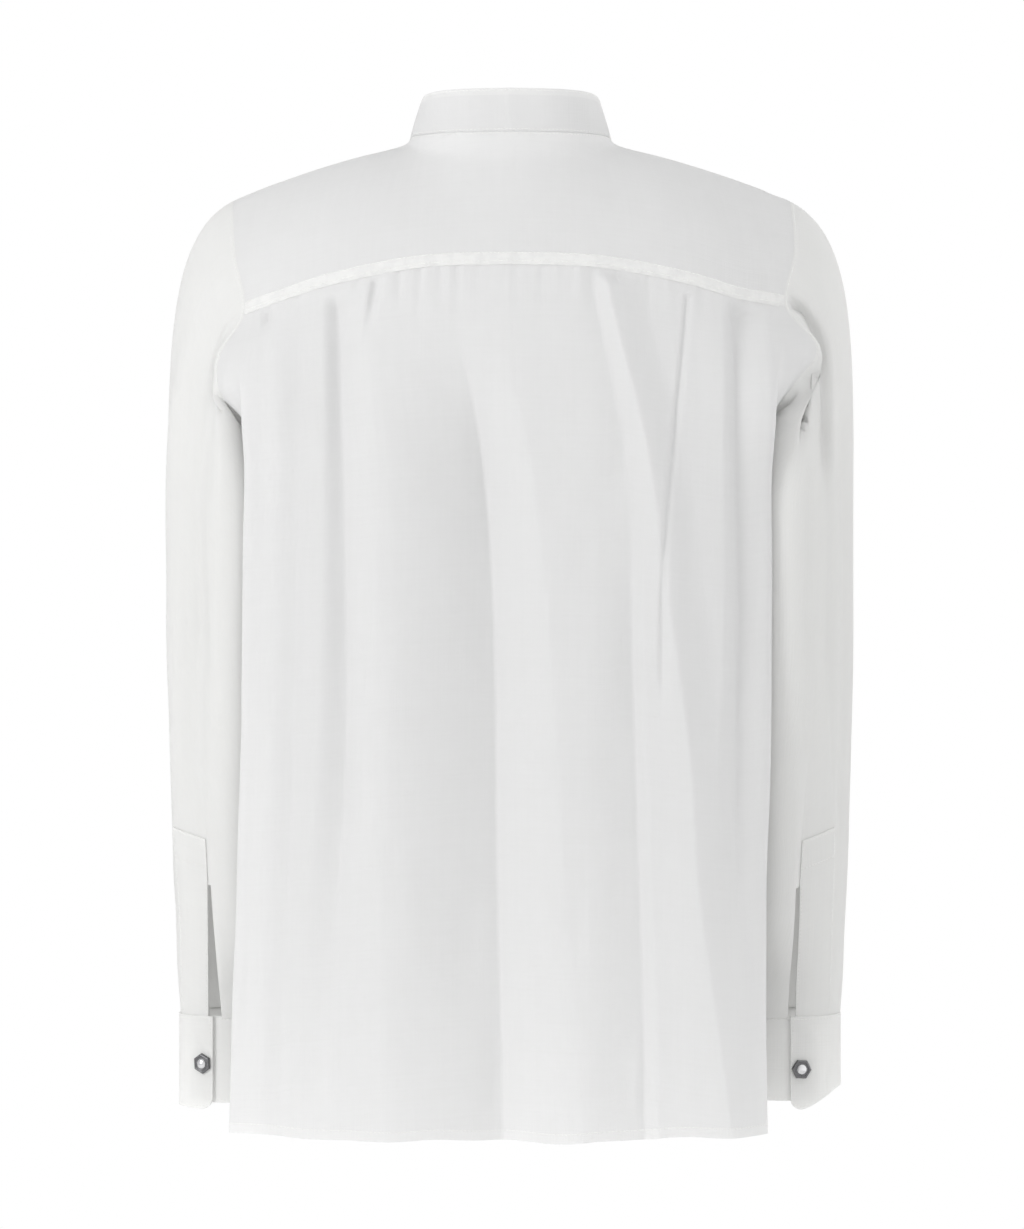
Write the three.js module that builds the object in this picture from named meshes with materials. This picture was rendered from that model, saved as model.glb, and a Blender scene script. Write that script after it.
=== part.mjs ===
import * as THREE from "three";

// A relaxed shirt of thin white cloth with a stand collar, gathered into a yoke and filled out as if worn.
// Millimetres. X runs to the wearer's left, Y to the back and Z up, from the middle of the neck opening.

// Cloth and seams.
const clothWall = 1.2;
const bandWall = 1.6;
const stripWall = 1.0;
const seamGap = 0.3;

// How many cells each stretch of cloth is divided into.
const backCells = 28;
const flapCells = 8;
const yokeNeckCells = 8;
const yokeShoulderCells = (backCells + flapCells) / 2 - yokeNeckCells;
const frontNeckCells = 6;
const yokeRows = 7;

// How much of the yoke seam, and of the body's plan, the middle of the back takes up. Its flaps take the rest.
const seamMiddle = 0.86;
const planMiddle = 0.74;

// How the columns of cloth arch down from their upper ends, as shares of their drop.
const backArch = { out: 0.05, down: 0.33, up: 0.33 };
const frontArch = { neckOut: 0.2, shoulderOut: 0.26, edgeOut: 0.16, easeCells: 5, down: 0.3, up: 0.4 };

// From which share of a row outwards the cloth follows the armhole, and how gradually.
const seamFollow = { back: 0.4, yoke: 0.45, front: 0.4, power: 1.3 };

// Over which stretch the relief of each panel dies out towards its edges: cells from the side, or rows on a
// sleeve, and millimetres from the top.
const backEdgeFade = { cells: 5, below: 9 };
const frontEdgeFade = { cells: 5, below: 20 };
const sleeveEdgeFade = { top: 4, low: 2 };

// Shares of the way down from the yoke to the underarm, at the back and at the front.
const backRises = [0, 0.05, 0.12, 0.22, 0.35, 0.5, 0.66, 0.83, 1];
const frontRises = [0, 0.12, 0.25, 0.38, 0.51, 0.64, 0.76, 0.88, 1];

// Heights of the rows from the underarm to the side seam's lower end.
const lowerRows = [-222, -230, -242, -262, -305, -360, -420, -485, -550, -615, -677];

// The body's plan at each height: how far the back reaches to the wearer's left and right, where its folded
// edges and middle lie, how far the side seams are drawn in under the arms, and the same for the front.
const bodyLevels = [
  { z: -222, left: 181, right: 179, backY: 93, edgeY: 65, sideX: 149, frontX: 166, cornerY: -80, frontY: -108 },
  { z: -234, left: 181, right: 179, backY: 93, edgeY: 66, sideX: 144, frontX: 167, cornerY: -81, frontY: -109 },
  { z: -252, left: 182, right: 179, backY: 94, edgeY: 67, sideX: 141, frontX: 168, cornerY: -82, frontY: -110 },
  { z: -310, left: 183, right: 179, backY: 95, edgeY: 68, sideX: 140, frontX: 170, cornerY: -84, frontY: -111 },
  { z: -430, left: 185, right: 178, backY: 96, edgeY: 68, sideX: 139, frontX: 171, cornerY: -84, frontY: -108 },
  { z: -520, left: 187, right: 175, backY: 97, edgeY: 68, sideX: 139, frontX: 171, cornerY: -83, frontY: -106 },
  { z: -690, left: 193, right: 176, backY: 98, edgeY: 68, sideX: 141, frontX: 172, cornerY: -82, frontY: -105 },
];

// Heights of the hem: at the middle of the back, at its folded edges, at the side seams and at the front.
const hem = { backZ: -691, edgeZ: -687, sideZ: -677, frontZ: -682 };

// The seam between yoke and back, from the centre to the armhole.
const yokeSeam = {
  left: [
    { x: 0, y: 89, z: -93.4 },
    { x: 60, y: 86, z: -95.5 },
    { x: 123, y: 77, z: -107 },
    { x: 154, y: 67, z: -116 },
    { x: 183, y: 50, z: -125 },
  ],
  right: [
    { x: 0, y: 89, z: -93.4 },
    { x: 60, y: 86, z: -95.5 },
    { x: 123, y: 77, z: -106.5 },
    { x: 154, y: 67, z: -115 },
    { x: 189, y: 48, z: -120 },
  ],
};

// The armhole seams, from the underarm up the back, over the shoulder and down the front.
const armholes = {
  left: [
    { at: "underarm", x: 149, y: 0, z: -222 },
    { at: "back", x: 171, y: 33, z: -209 },
    { at: "back", x: 186, y: 45, z: -196 },
    { at: "back", x: 200, y: 49, z: -178 },
    { at: "back", x: 200, y: 50, z: -155 },
    { at: "yoke back", x: 183, y: 50, z: -125 },
    { at: "yoke", x: 190, y: 36, z: -84 },
    { at: "top", x: 194, y: -2, z: -43 },
    { at: "yoke front", x: 191, y: -36, z: -64 },
    { at: "front", x: 184, y: -58, z: -112 },
    { at: "front", x: 177, y: -60, z: -160 },
    { at: "front", x: 166, y: -40, z: -202 },
  ],
  right: [
    { at: "underarm", x: 149, y: 0, z: -222 },
    { at: "back", x: 168, y: 32, z: -207 },
    { at: "back", x: 184, y: 44, z: -188 },
    { at: "back", x: 197, y: 47, z: -171 },
    { at: "back", x: 211, y: 45, z: -150 },
    { at: "yoke back", x: 189, y: 48, z: -120 },
    { at: "yoke", x: 196, y: 34, z: -82 },
    { at: "top", x: 195, y: -2, z: -43 },
    { at: "yoke front", x: 191, y: -36, z: -64 },
    { at: "front", x: 184, y: -58, z: -112 },
    { at: "front", x: 177, y: -60, z: -160 },
    { at: "front", x: 166, y: -40, z: -202 },
  ],
};
const cornerOf = { underarm: 0, yokeBack: 5, yokeFront: 8, end: 12 };
const shoulderTopShare = 0.62;

// The neck seam, from the centre back to the shoulder seam and on to the centre front.
const neckSeam = [
  { at: "centre back", x: 0, y: 52, z: 0 },
  { at: "back", x: 32, y: 47, z: 0 },
  { at: "back", x: 55, y: 32, z: 0.3 },
  { at: "side", x: 69, y: 3, z: 0 },
  { at: "shoulder", x: 69, y: -20, z: -9 },
  { at: "front", x: 56, y: -46, z: -33 },
  { at: "front", x: 30, y: -61, z: -53 },
  { at: "centre front", x: 0, y: -67, z: -60 },
];
const neckCorner = { shoulder: 4, centreFront: 7 };
const neckMiddleY = -4;

// How each column of the yoke leaves the back seam and meets its far edge, by its share of the way out.
const yokeColumns = [
  { share: 0, rise: [0, -10, 36], lead: [0, 16, -30] },
  { share: 0.2, rise: [0, -9, 38], lead: [4, 17, -28] },
  { share: 0.36, rise: [0, -7, 48], lead: [13, 24, -4] },
  { share: 0.45, rise: [0, -5, 60], lead: [9, 26, 24] },
  { share: 0.56, rise: [0, -5, 70], lead: [4, 24, 29] },
  { share: 0.7, rise: [0, -5, 75], lead: [2, 22, 31] },
  { share: 1, rise: [0, -4, 70], lead: [2, 24, 30] },
];

// The main folds of the back: the line that each follows down the cloth, its reach to the wearer's left and
// right of that line, how far it stands out or sinks in, and over which stretch it starts and dies out.
const backFolds = [
  {
    line: [[124, -113], [123, -300], [120, -420], [124, -570]],
    left: 15, right: 15, depth: -8, start: 30, end: 90,
  },
  {
    line: [[103, -113], [100, -300], [98, -450], [96, -700]],
    left: 16, right: 20, depth: 5, start: 40, end: 300,
  },
  {
    line: [[44, -99], [26, -240], [14, -430], [10, -700]],
    left: 60, right: 20, depth: -10, start: 120, end: 1,
  },
  {
    line: [[-8, -95], [-14, -300], [-20, -500], [-22, -700]],
    left: 16, right: 44, depth: 6, start: 90, end: 1,
  },
  {
    line: [[-61, -99], [-88, -221], [-101, -459], [-142, -700]],
    left: 22, right: 18, depth: 7, start: 20, end: 1,
  },
  {
    line: [[-122, -108], [-110, -235], [-106, -300], [-112, -420]],
    left: 13, right: 14, depth: -6, start: 12, end: 90,
  },
  {
    line: [[-134, -112], [-132, -240], [-126, -340], [-122, -420]],
    left: 16, right: 15, depth: 5, start: 20, end: 60,
  },
  {
    line: [[-152, -118], [-152, -242], [-146, -337], [-142, -470]],
    left: 14, right: 15, depth: -7, start: 25, end: 110,
  },
  {
    line: [[-80, -455], [-82, -540], [-86, -620], [-98, -700]],
    left: 18, right: 14, depth: -5, start: 60, end: 1,
  },
  {
    line: [[158, -122], [160, -300], [166, -500], [172, -700]],
    left: 14, right: 16, depth: 4, start: 60, end: 1,
  },
];

// The gathers along the yoke seam: where each lies, how deep it is and how far down it runs.
const gathers = [
  { x: 170, depth: -1.2, length: 32 },
  { x: 158, depth: 1.2, length: 40 },
  { x: 146, depth: -1.4, length: 36 },
  { x: 112, depth: 1.6, length: 60 },
  { x: 92, depth: -2.4, length: 34 },
  { x: 78, depth: 1.8, length: 60 },
  { x: 70, depth: -2.0, length: 70 },
  { x: 62, depth: 1.8, length: 80 },
  { x: 52, depth: -2.0, length: 90 },
  { x: 40, depth: 1.4, length: 70 },
  { x: 28, depth: -1.8, length: 80 },
  { x: 14, depth: 1.4, length: 50 },
  { x: 2, depth: -1.6, length: 60 },
  { x: -24, depth: -1.6, length: 60 },
  { x: -36, depth: 1.4, length: 50 },
  { x: -48, depth: -1.6, length: 45 },
  { x: -74, depth: -2.2, length: 60 },
  { x: -86, depth: 1.6, length: 60 },
  { x: -98, depth: -1.8, length: 50 },
  { x: -110, depth: 1.6, length: 40 },
  { x: -142, depth: 1.8, length: 60 },
  { x: -166, depth: 1.6, length: 50 },
  { x: -176, depth: -1.8, length: 50 },
];
const gatherReach = 6.5;

// The main folds of each front, by distance from the centre front.
const frontFolds = [
  {
    line: [[88, -40], [92, -200], [96, -420], [104, -700]],
    left: 26, right: 22, depth: -6, start: 70, end: 1,
  },
  {
    line: [[126, -60], [128, -200], [134, -420], [138, -700]],
    left: 20, right: 20, depth: 6, start: 60, end: 1,
  },
  { line: [[52, -90], [50, -260], [54, -460], [58, -700]], left: 24, right: 20, depth: 4, start: 90, end: 1 },
];

// The sleeves' outer and inner edges, the middle of their depth and half that depth, at each height.
const sleeveLevels = [
  { z: -270, outerX: 240.5, innerX: 153, midY: -12, halfY: 60 },
  { z: -300, outerX: 240.5, innerX: 152, midY: -12, halfY: 60 },
  { z: -360, outerX: 240.5, innerX: 151, midY: -12, halfY: 58 },
  { z: -430, outerX: 239, innerX: 151, midY: -13, halfY: 54 },
  { z: -487, outerX: 237.5, innerX: 151, midY: -16, halfY: 50 },
  { z: -520, outerX: 236.2, innerX: 151, midY: -18, halfY: 48 },
  { z: -552, outerX: 235, innerX: 151, midY: -20, halfY: 45 },
  { z: -584, outerX: 234, innerX: 151, midY: -22, halfY: 41 },
  { z: -614, outerX: 232.3, innerX: 152, midY: -24, halfY: 36 },
];
const sleeveRises = [0, 0.07, 0.16, 0.27, 0.4, 0.56, 0.76, 1];
const shoulderHandle = 0.24;
const hangHandle = 0.5;
const underarmHandle = 15;
const underarmGap = 0.35;
const underarmWay = { x: 0.45, z: 0.9 };

// The folds of the sleeves: angle round the sleeve from its outer edge towards the back, and height.
const sleeveFolds = {
  left: [
    { line: [[72, -150], [66, -260], [60, -380], [56, -480]], reach: 22, depth: -5, start: 80, end: 120 },
    { line: [[34, -120], [30, -240], [34, -400], [40, -560]], reach: 22, depth: 4, start: 80, end: 120 },
    { line: [[112, -260], [104, -360], [100, -460], [92, -600]], reach: 24, depth: 4, start: 80, end: 30 },
    { line: [[250, -160], [262, -300], [272, -450], [284, -590]], reach: 26, depth: -6, start: 90, end: 90 },
  ],
  right: [
    { line: [[68, -84], [54, -125], [51, -150], [60, -260]], reach: 15, depth: -7, start: 22, end: 80 },
    { line: [[84, -180], [80, -300], [78, -400], [76, -490]], reach: 24, depth: 5, start: 80, end: 80 },
    { line: [[34, -140], [30, -300], [28, -440], [30, -560]], reach: 20, depth: -5, start: 80, end: 100 },
    { line: [[252, -160], [264, -300], [272, -450], [284, -590]], reach: 26, depth: -6, start: 90, end: 90 },
  ],
};

// The slit above each cuff, at the back of the sleeve, and the strip that covers its outer edge.
const slit = {
  left: { x: 206, topZ: -520, topWidth: 3, lowWidth: 9 },
  right: { x: 196, topZ: -520, topWidth: 3, lowWidth: 5 },
};
const stripTopZ = -487;
const stripWidth = 29;
const stripSlant = 8;
const wristRadius = 42;

// The cuffs: a band round the wrist whose flap lies over its other end. Its lower edge is given by how far
// round the band each point is, from the covered end to the flap.
const cuff = { overlap: 19, cells: 26, flapX: { left: 207, right: 195 }, cornerRadius: 9 };
const cuffLayer = 1.3;
const cuffLap = { share: 0.22, ease: 0.1 };
const cuffEdges = {
  left: [
    { turn: 0, z: -673 },
    { turn: 0.3, z: -674 },
    { turn: 0.7, z: -677 },
    { turn: 1, z: -678 },
  ],
  right: [
    { turn: 0, z: -672 },
    { turn: 0.3, z: -671 },
    { turn: 0.6, z: -666 },
    { turn: 0.84, z: -664 },
    { turn: 0.96, z: -677 },
    { turn: 1, z: -679 },
  ],
};

// The stand collar, by share of the way from the centre back to the centre front: how far its top edge is drawn
// in from the neck seam, and how high that edge stands over it.
const collarLevels = [
  { share: 0, inset: 4.5, height: 30.5 },
  { share: 0.25, inset: 5, height: 30 },
  { share: 0.36, inset: 6.5, height: 28.5 },
  { share: 0.47, inset: 8, height: 25.5 },
  { share: 0.6, inset: 7, height: 26 },
  { share: 1, inset: 2, height: 29 },
];
const collarLift = 1.6;
const collarCells = 20;
const collarLayer = 1.2;
const collarLap = { width: 11, share: 0.22, ease: 0.12 };
const frontLap = { width: 14, from: 30, ease: 14, step: 2.2 };

// The buttons: six-sided metal, with a raised rim round a domed middle. Their profile runs from the back out
// over the rim and up the dome.
const buttonProfile = [
  { radius: 0, height: 0 },
  { radius: 7.2, height: 0 },
  { radius: 7.2, height: 1.4 },
  { radius: 6.2, height: 2.3 },
  { radius: 5.2, height: 2.3 },
  { radius: 4.5, height: 1.6 },
  { radius: 3.9, height: 2.4 },
  { radius: 2.4, height: 3.3 },
  { radius: 0, height: 3.6 },
];
const buttonSides = 6;
const buttonSeat = 0.4;
const frontButtons = { topZ: -96, pitch: 84, count: 7 };
const cuffButtons = { left: { x: 214.5, z: -646 }, right: { x: 202.5, z: -649.5 } };

const cloth = { color: 0xf1f1ee, roughness: 0.85, metalness: 0 };
const bandCloth = { color: 0xf3f3f0, roughness: 0.8, metalness: 0 };
const buttonMetal = { color: 0x9a9ba0, roughness: 0.3, metalness: 1 };

const vector = (x, y, z) => new THREE.Vector3(x, y, z);
const mirrored = (point) => vector(-point.x, point.y, point.z);
const clampShare = (value) => Math.min(1, Math.max(0, value));
const easeShare = (value) => clampShare(value) ** 2 * (3 - 2 * clampShare(value));

// A smooth value between the rows of a table, read from one column against another.
function readTable(rows, key, value, at) {
  const rising = rows[rows.length - 1][key] > rows[0][key];
  const knots = rising ? rows : [...rows].reverse();
  const slope = (a, b) => (b[value] - a[value]) / (b[key] - a[key]);
  let i = 0;
  while (i < knots.length - 2 && at > knots[i + 1][key]) i++;
  const before = knots[Math.max(i - 1, 0)];
  const [from, to] = [knots[i], knots[i + 1]];
  const after = knots[Math.min(i + 2, knots.length - 1)];
  const span = to[key] - from[key];
  const t = clampShare((at - from[key]) / span);
  const leave = before === from ? slope(from, to) : slope(before, to);
  const arrive = after === to ? slope(from, to) : slope(from, after);
  const t2 = t * t;
  const t3 = t2 * t;
  return (
    (2 * t3 - 3 * t2 + 1) * from[value] +
    (t3 - 2 * t2 + t) * span * leave +
    (3 * t2 - 2 * t3) * to[value] +
    (t3 - t2) * span * arrive
  );
}

// Points at given shares of the length between two of a curve's own points.
function pointsBetween(curve, from, to, shares) {
  const steps = 240;
  const last = curve.closed ? curve.points.length : curve.points.length - 1;
  const dense = Array.from({ length: steps + 1 }, (_, i) => {
    const place = (from + ((to - from) * i) / steps) / last;
    return curve.getPoint(curve.closed ? place % 1 : clampShare(place));
  });
  const lengths = [0];
  for (let i = 1; i <= steps; i++) lengths.push(lengths[i - 1] + dense[i].distanceTo(dense[i - 1]));
  return shares.map((share) => {
    const goal = share * lengths[steps];
    let i = 1;
    while (i < steps && lengths[i] < goal) i++;
    const beyond = (goal - lengths[i - 1]) / (lengths[i] - lengths[i - 1]);
    return dense[i - 1].clone().lerp(dense[i], clampShare(beyond));
  });
}

const smoothCurve = (points, closed) => new THREE.CatmullRomCurve3(points, closed, "centripetal");
const evenShares = (cells) => Array.from({ length: cells + 1 }, (_, i) => i / cells);

// The direction that a grid's cloth faces at each of its points, worked out from its neighbours.
function facings(grid, closed) {
  const rows = grid.length;
  const columns = grid[0].length;
  const column = (j) => (closed ? (j + columns) % columns : Math.min(columns - 1, Math.max(0, j)));
  return grid.map((row, i) =>
    row.map((_, j) => {
      const down = grid[Math.min(rows - 1, i + 1)][j].clone().sub(grid[Math.max(0, i - 1)][j]);
      const across = row[column(j + 1)].clone().sub(row[column(j - 1)]);
      return down.cross(across).normalize();
    }),
  );
}

// A wall of cloth on a grid of points, half its thickness to each side. Cells that keep() refuses are left open.
function clothSolid(grid, thickness, { closed = false, keep = () => true } = {}) {
  const rows = grid.length;
  const columns = grid[0].length;
  const faces = facings(grid, closed);
  const positions = [];
  for (const side of [0.5, -0.5]) {
    grid.forEach((row, i) =>
      row.forEach((point, j) => positions.push(...point.clone().addScaledVector(faces[i][j], side * thickness))),
    );
  }
  const cellColumns = closed ? columns : columns - 1;
  const has = (i, j) => {
    const column = closed ? (j + columns) % columns : j;
    return i >= 0 && i < rows - 1 && column >= 0 && column < cellColumns && keep(i, column);
  };
  const outer = (i, j) => i * columns + (j % columns);
  const inner = (i, j) => rows * columns + outer(i, j);
  const index = [];
  const quad = (a, b, c, d) => index.push(a, b, c, a, c, d);
  for (let i = 0; i < rows - 1; i++) {
    for (let j = 0; j < cellColumns; j++) {
      if (!has(i, j)) continue;
      quad(outer(i, j), outer(i + 1, j), outer(i + 1, j + 1), outer(i, j + 1));
      quad(inner(i, j), inner(i, j + 1), inner(i + 1, j + 1), inner(i + 1, j));
      if (!has(i - 1, j)) quad(outer(i, j), outer(i, j + 1), inner(i, j + 1), inner(i, j));
      if (!has(i + 1, j)) quad(outer(i + 1, j + 1), outer(i + 1, j), inner(i + 1, j), inner(i + 1, j + 1));
      if (!has(i, j - 1)) quad(outer(i + 1, j), outer(i, j), inner(i, j), inner(i + 1, j));
      if (!has(i, j + 1)) quad(outer(i, j + 1), outer(i + 1, j + 1), inner(i + 1, j + 1), inner(i, j + 1));
    }
  }
  const geometry = new THREE.BufferGeometry();
  geometry.setAttribute("position", new THREE.Float32BufferAttribute(positions, 3));
  geometry.setIndex(index);
  return dropUnused(geometry);
}

// Only the points that a face uses are kept, so an open slit leaves no stray ones.
function dropUnused(geometry) {
  const used = [...new Set(geometry.index.array)];
  const places = new Map(used.map((old, fresh) => [old, fresh]));
  const from = geometry.attributes.position;
  const positions = used.flatMap((old) => [from.getX(old), from.getY(old), from.getZ(old)]);
  const kept = new THREE.BufferGeometry();
  kept.setAttribute("position", new THREE.Float32BufferAttribute(positions, 3));
  kept.setIndex([...geometry.index.array].map((old) => places.get(old)));
  kept.computeVertexNormals();
  return kept;
}

// The height of a fold's surface beside its line: a round ridge or trough that starts and dies out gently.
function foldHeight(fold, across, along) {
  const stations = fold.line.map(([place, z]) => ({ place, z }));
  const top = stations[0].z;
  const low = stations[stations.length - 1].z;
  if (along > top || along < low) return 0;
  const offset = across - readTable(stations, "z", "place", along);
  const reach = offset > 0 ? (fold.left ?? fold.reach) : (fold.right ?? fold.reach);
  const beside = Math.abs(offset) / reach;
  if (beside >= 1) return 0;
  const fade = easeShare((top - along) / fold.start) * easeShare((along - low) / fold.end);
  return fold.depth * fade * 0.5 * (1 + Math.cos(Math.PI * beside));
}

// Moves a grid's points along the way they face by a height worked out for each. Panels face into the body.
function raised(grid, closed, heightOf) {
  const faces = facings(grid, closed);
  return grid.map((row, i) => row.map((point, j) => point.clone().addScaledVector(faces[i][j], heightOf(point, i, j))));
}

// The body's plan at a height, as a closed curve whose points run from the centre back by the left side.
const [sideLeft, centreFront, sideRight, centreBack] = [7, 14, 21, 28];
function bodyPlan(z) {
  const at = (value) => readTable(bodyLevels, "z", value, z);
  const [backY, edgeY, sideX] = ["backY", "edgeY", "sideX"].map(at);
  const [frontX, cornerY, frontY] = ["frontX", "cornerY", "frontY"].map(at);
  const half = (reach) => [
    [0.33 * reach, backY - 1],
    [0.64 * reach, backY - 6],
    [0.88 * reach, backY - 15],
    [reach, edgeY],
    [reach - 17, edgeY - 19],
    [sideX + 9, 22],
    [sideX, 0],
    [sideX + 6, -34],
    [frontX - 13, cornerY + 20],
    [frontX, cornerY],
    [0.88 * frontX, frontY + 9],
    [0.6 * frontX, frontY + 2],
    [0.3 * frontX, frontY],
  ];
  const left = half(at("left")).map(([x, y]) => vector(x, y, z));
  const right = half(at("right")).map(([x, y]) => vector(-x, y, z));
  return smoothCurve([vector(0, backY, z), ...left, vector(0, frontY, z), ...right.reverse()], true);
}

const armholeCurves = {
  left: smoothCurve(armholes.left.map(({ x, y, z }) => vector(x, y, z)), true),
  right: smoothCurve(armholes.right.map(({ x, y, z }) => vector(x, y, z)), true),
};
const armhole = (side, from, to, shares) => pointsBetween(armholeCurves[side], from, to, shares);
const armholeBack = (side) => armhole(side, cornerOf.yokeBack, cornerOf.underarm, backRises);
const armholeYoke = (side) => armhole(side, cornerOf.yokeBack, cornerOf.yokeFront, evenShares(yokeRows));
const armholeFront = (side) => armhole(side, cornerOf.yokeFront, cornerOf.end, frontRises);

const neckCurve = smoothCurve(neckSeam.map(({ x, y, z }) => vector(x, y, z)), false);
const shoulderPoints = [vector(69, -20, -9), vector(130, -31, -34), vector(191, -36, -64)];
const shoulderSeam = new THREE.QuadraticBezierCurve3(...shoulderPoints);

// Where the columns of the back lie: its middle is spread evenly and its flaps under the arms more closely.
const halfCells = backCells + flapCells;
const columnShare = (middle) => (j) =>
  j <= backCells ? (middle * j) / backCells : middle + ((1 - middle) * (j - backCells)) / flapCells;
const topShares = Array.from({ length: halfCells + 1 }, (_, j) => columnShare(seamMiddle)(j));
const planShares = Array.from({ length: halfCells + 1 }, (_, j) => columnShare(planMiddle)(j));

// How much a column follows the armhole: wholly at the seam, and less towards the middle.
const followSeam = (share, from) => easeShare((share - from) / (1 - from)) ** seamFollow.power;

function yokeSeamHalf(side) {
  const curve = smoothCurve(yokeSeam[side].map(({ x, y, z }) => vector(x, y, z)), false);
  const points = pointsBetween(curve, 0, 4, topShares);
  // Every second point sets the seam, and those between lie midway, so yoke and back meet along the same line.
  for (let j = 1; j < halfCells; j += 2) points[j].copy(points[j - 1]).add(points[j + 1]).multiplyScalar(0.5);
  return points;
}

// Cubic arch between two points with its own handles.
const arch = (from, rise, lead, to) =>
  new THREE.CubicBezierCurve3(from, from.clone().add(rise), to.clone().add(lead), to);

// One half of the back, on the wearer's left in this form: rows from the yoke seam down, columns outwards.
function backHalf(side) {
  const seam = yokeSeamHalf(side);
  const towards = side === "left" ? 1 : -1;
  const planHalf = (z) => {
    const [from, to] = side === "left" ? [0, sideLeft] : [centreBack, sideRight];
    return pointsBetween(bodyPlan(z), from, to, planShares).map((p) => vector(towards * p.x, p.y, p.z));
  };
  const underarm = planHalf(lowerRows[0]);
  const edge = armholeBack(side);
  const rows = backRises.map((rise) =>
    seam.map((top, j) => {
      const low = underarm[j];
      const drop = top.z - low.z;
      const leave = vector(0, backArch.out * drop, -backArch.down * drop);
      return arch(top, leave, vector(0, 0, backArch.up * drop), low).getPoint(rise);
    }),
  );
  rows.forEach((row, i) => {
    const shift = edge[i].clone().sub(row[halfCells]);
    row.forEach((point, j) => point.addScaledVector(shift, followSeam(j / halfCells, seamFollow.back)));
  });
  for (const z of lowerRows.slice(1)) {
    const level = planHalf(z);
    level.forEach((point, j) => {
      const flapShare = clampShare((planShares[j] - planMiddle) / (1 - planMiddle));
      const middleZ = hem.backZ + (hem.edgeZ - hem.backZ) * easeShare(planShares[j] / planMiddle);
      const hemZ = middleZ + (hem.sideZ - hem.edgeZ) * flapShare;
      const share = (z - lowerRows[0]) / (hem.sideZ - lowerRows[0]);
      point.z = lowerRows[0] + (hemZ - lowerRows[0]) * share;
    });
    rows.push(level);
  }
  return rows;
}

function backGrid() {
  const left = backHalf("left");
  const right = backHalf("right");
  const rows = left.map((row, i) => [...right[i].slice(1).reverse().map(mirrored), ...row]);
  const relief = (point, i, j) => {
    const fromEdge = Math.min(j, rows[0].length - 1 - j);
    const seamZ = rows[0][j].z;
    const below = seamZ - point.z;
    const edgeFade = easeShare(fromEdge / backEdgeFade.cells);
    const folds = backFolds.reduce((sum, fold) => sum + foldHeight(fold, point.x, point.z), 0);
    const puckers = gathers.reduce((sum, gather) => {
      const beside = Math.abs(point.x - gather.x) / gatherReach;
      const run = easeShare(1 - below / gather.length);
      return sum + (beside < 1 ? gather.depth * run * 0.5 * (1 + Math.cos(Math.PI * beside)) : 0);
    }, 0);
    return -(folds + puckers) * edgeFade * easeShare(below / backEdgeFade.below);
  };
  return raised(rows, false, relief);
}

// One half of the yoke, on the wearer's left in this form: rows from the back seam to its far edge.
function yokeHalf(side) {
  const seam = yokeSeamHalf(side).filter((_, j) => j % 2 === 0);
  const neck = pointsBetween(neckCurve, 0, neckCorner.shoulder, evenShares(yokeNeckCells));
  const shoulder = evenShares(yokeShoulderCells).map((share) => shoulderSeam.getPoint(share));
  const far = [...neck, ...shoulder.slice(1)];
  const handlePart = (kind, axis, share) => {
    const rows = yokeColumns.map((column) => ({ share: column.share, value: column[kind][axis] }));
    return readTable(rows, "share", "value", share);
  };
  const handle = (kind, share) => vector(...[0, 1, 2].map((axis) => handlePart(kind, axis, share)));
  const columns = seam.map((from, k) => {
    const share = k / (seam.length - 1);
    return arch(from, handle("rise", share), handle("lead", share), far[k]);
  });
  const edge = armholeYoke(side);
  return evenShares(yokeRows).map((share, i) => {
    const row = columns.map((column) => column.getPoint(share));
    const shift = edge[i].clone().sub(row[row.length - 1]);
    return row.map((point, k) => point.addScaledVector(shift, followSeam(k / (row.length - 1), seamFollow.yoke)));
  });
}

function yokeGrid() {
  const left = yokeHalf("left");
  const right = yokeHalf("right");
  return left.map((row, i) => [...right[i].slice(1).reverse().map(mirrored), ...row]);
}

// One front, on the wearer's left in this form: rows from the neck and shoulder down, columns outwards.
function frontHalf(side) {
  const neck = pointsBetween(neckCurve, neckCorner.centreFront, neckCorner.shoulder, evenShares(frontNeckCells));
  const shoulder = evenShares(yokeShoulderCells).map((share) => shoulderSeam.getPoint(share));
  const top = [...neck, ...shoulder.slice(1)];
  const cells = top.length - 1;
  const plan = (z) => pointsBetween(bodyPlan(z), centreFront, sideLeft, evenShares(cells));
  const underarm = plan(lowerRows[0]);
  const edge = armholeFront(side);
  const rows = frontRises.map((rise, i) => {
    const row = top.map((from, j) => {
      const low = underarm[j];
      const drop = from.z - low.z;
      const alongShoulder = easeShare((j - frontNeckCells) / frontArch.easeCells);
      const shoulderOut = frontArch.shoulderOut + (frontArch.edgeOut - frontArch.shoulderOut) * alongShoulder;
      const out = j < frontNeckCells ? frontArch.neckOut : shoulderOut;
      const leave = vector(0, -out * drop, -frontArch.down * drop);
      return arch(from, leave, vector(0, 0, frontArch.up * drop), low).getPoint(rise);
    });
    const shift = edge[i].clone().sub(row[cells]);
    return row.map((point, j) => point.addScaledVector(shift, followSeam(j / cells, seamFollow.front)));
  });
  for (const z of lowerRows.slice(1)) {
    const level = plan(z);
    level.forEach((point, j) => {
      const hemZ = hem.frontZ + (hem.sideZ - hem.frontZ) * easeShare(j / cells);
      point.z = lowerRows[0] + ((hemZ - lowerRows[0]) * (z - lowerRows[0])) / (hem.sideZ - lowerRows[0]);
    });
    rows.push(level);
  }
  const relief = (point, i, j) => {
    const folds = frontFolds.reduce((sum, fold) => sum + foldHeight(fold, point.x, point.z), 0);
    const below = top[j].z - point.z;
    return folds * easeShare((cells - j) / frontEdgeFade.cells) * easeShare(below / frontEdgeFade.below);
  };
  return raised(rows, false, relief);
}

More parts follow.
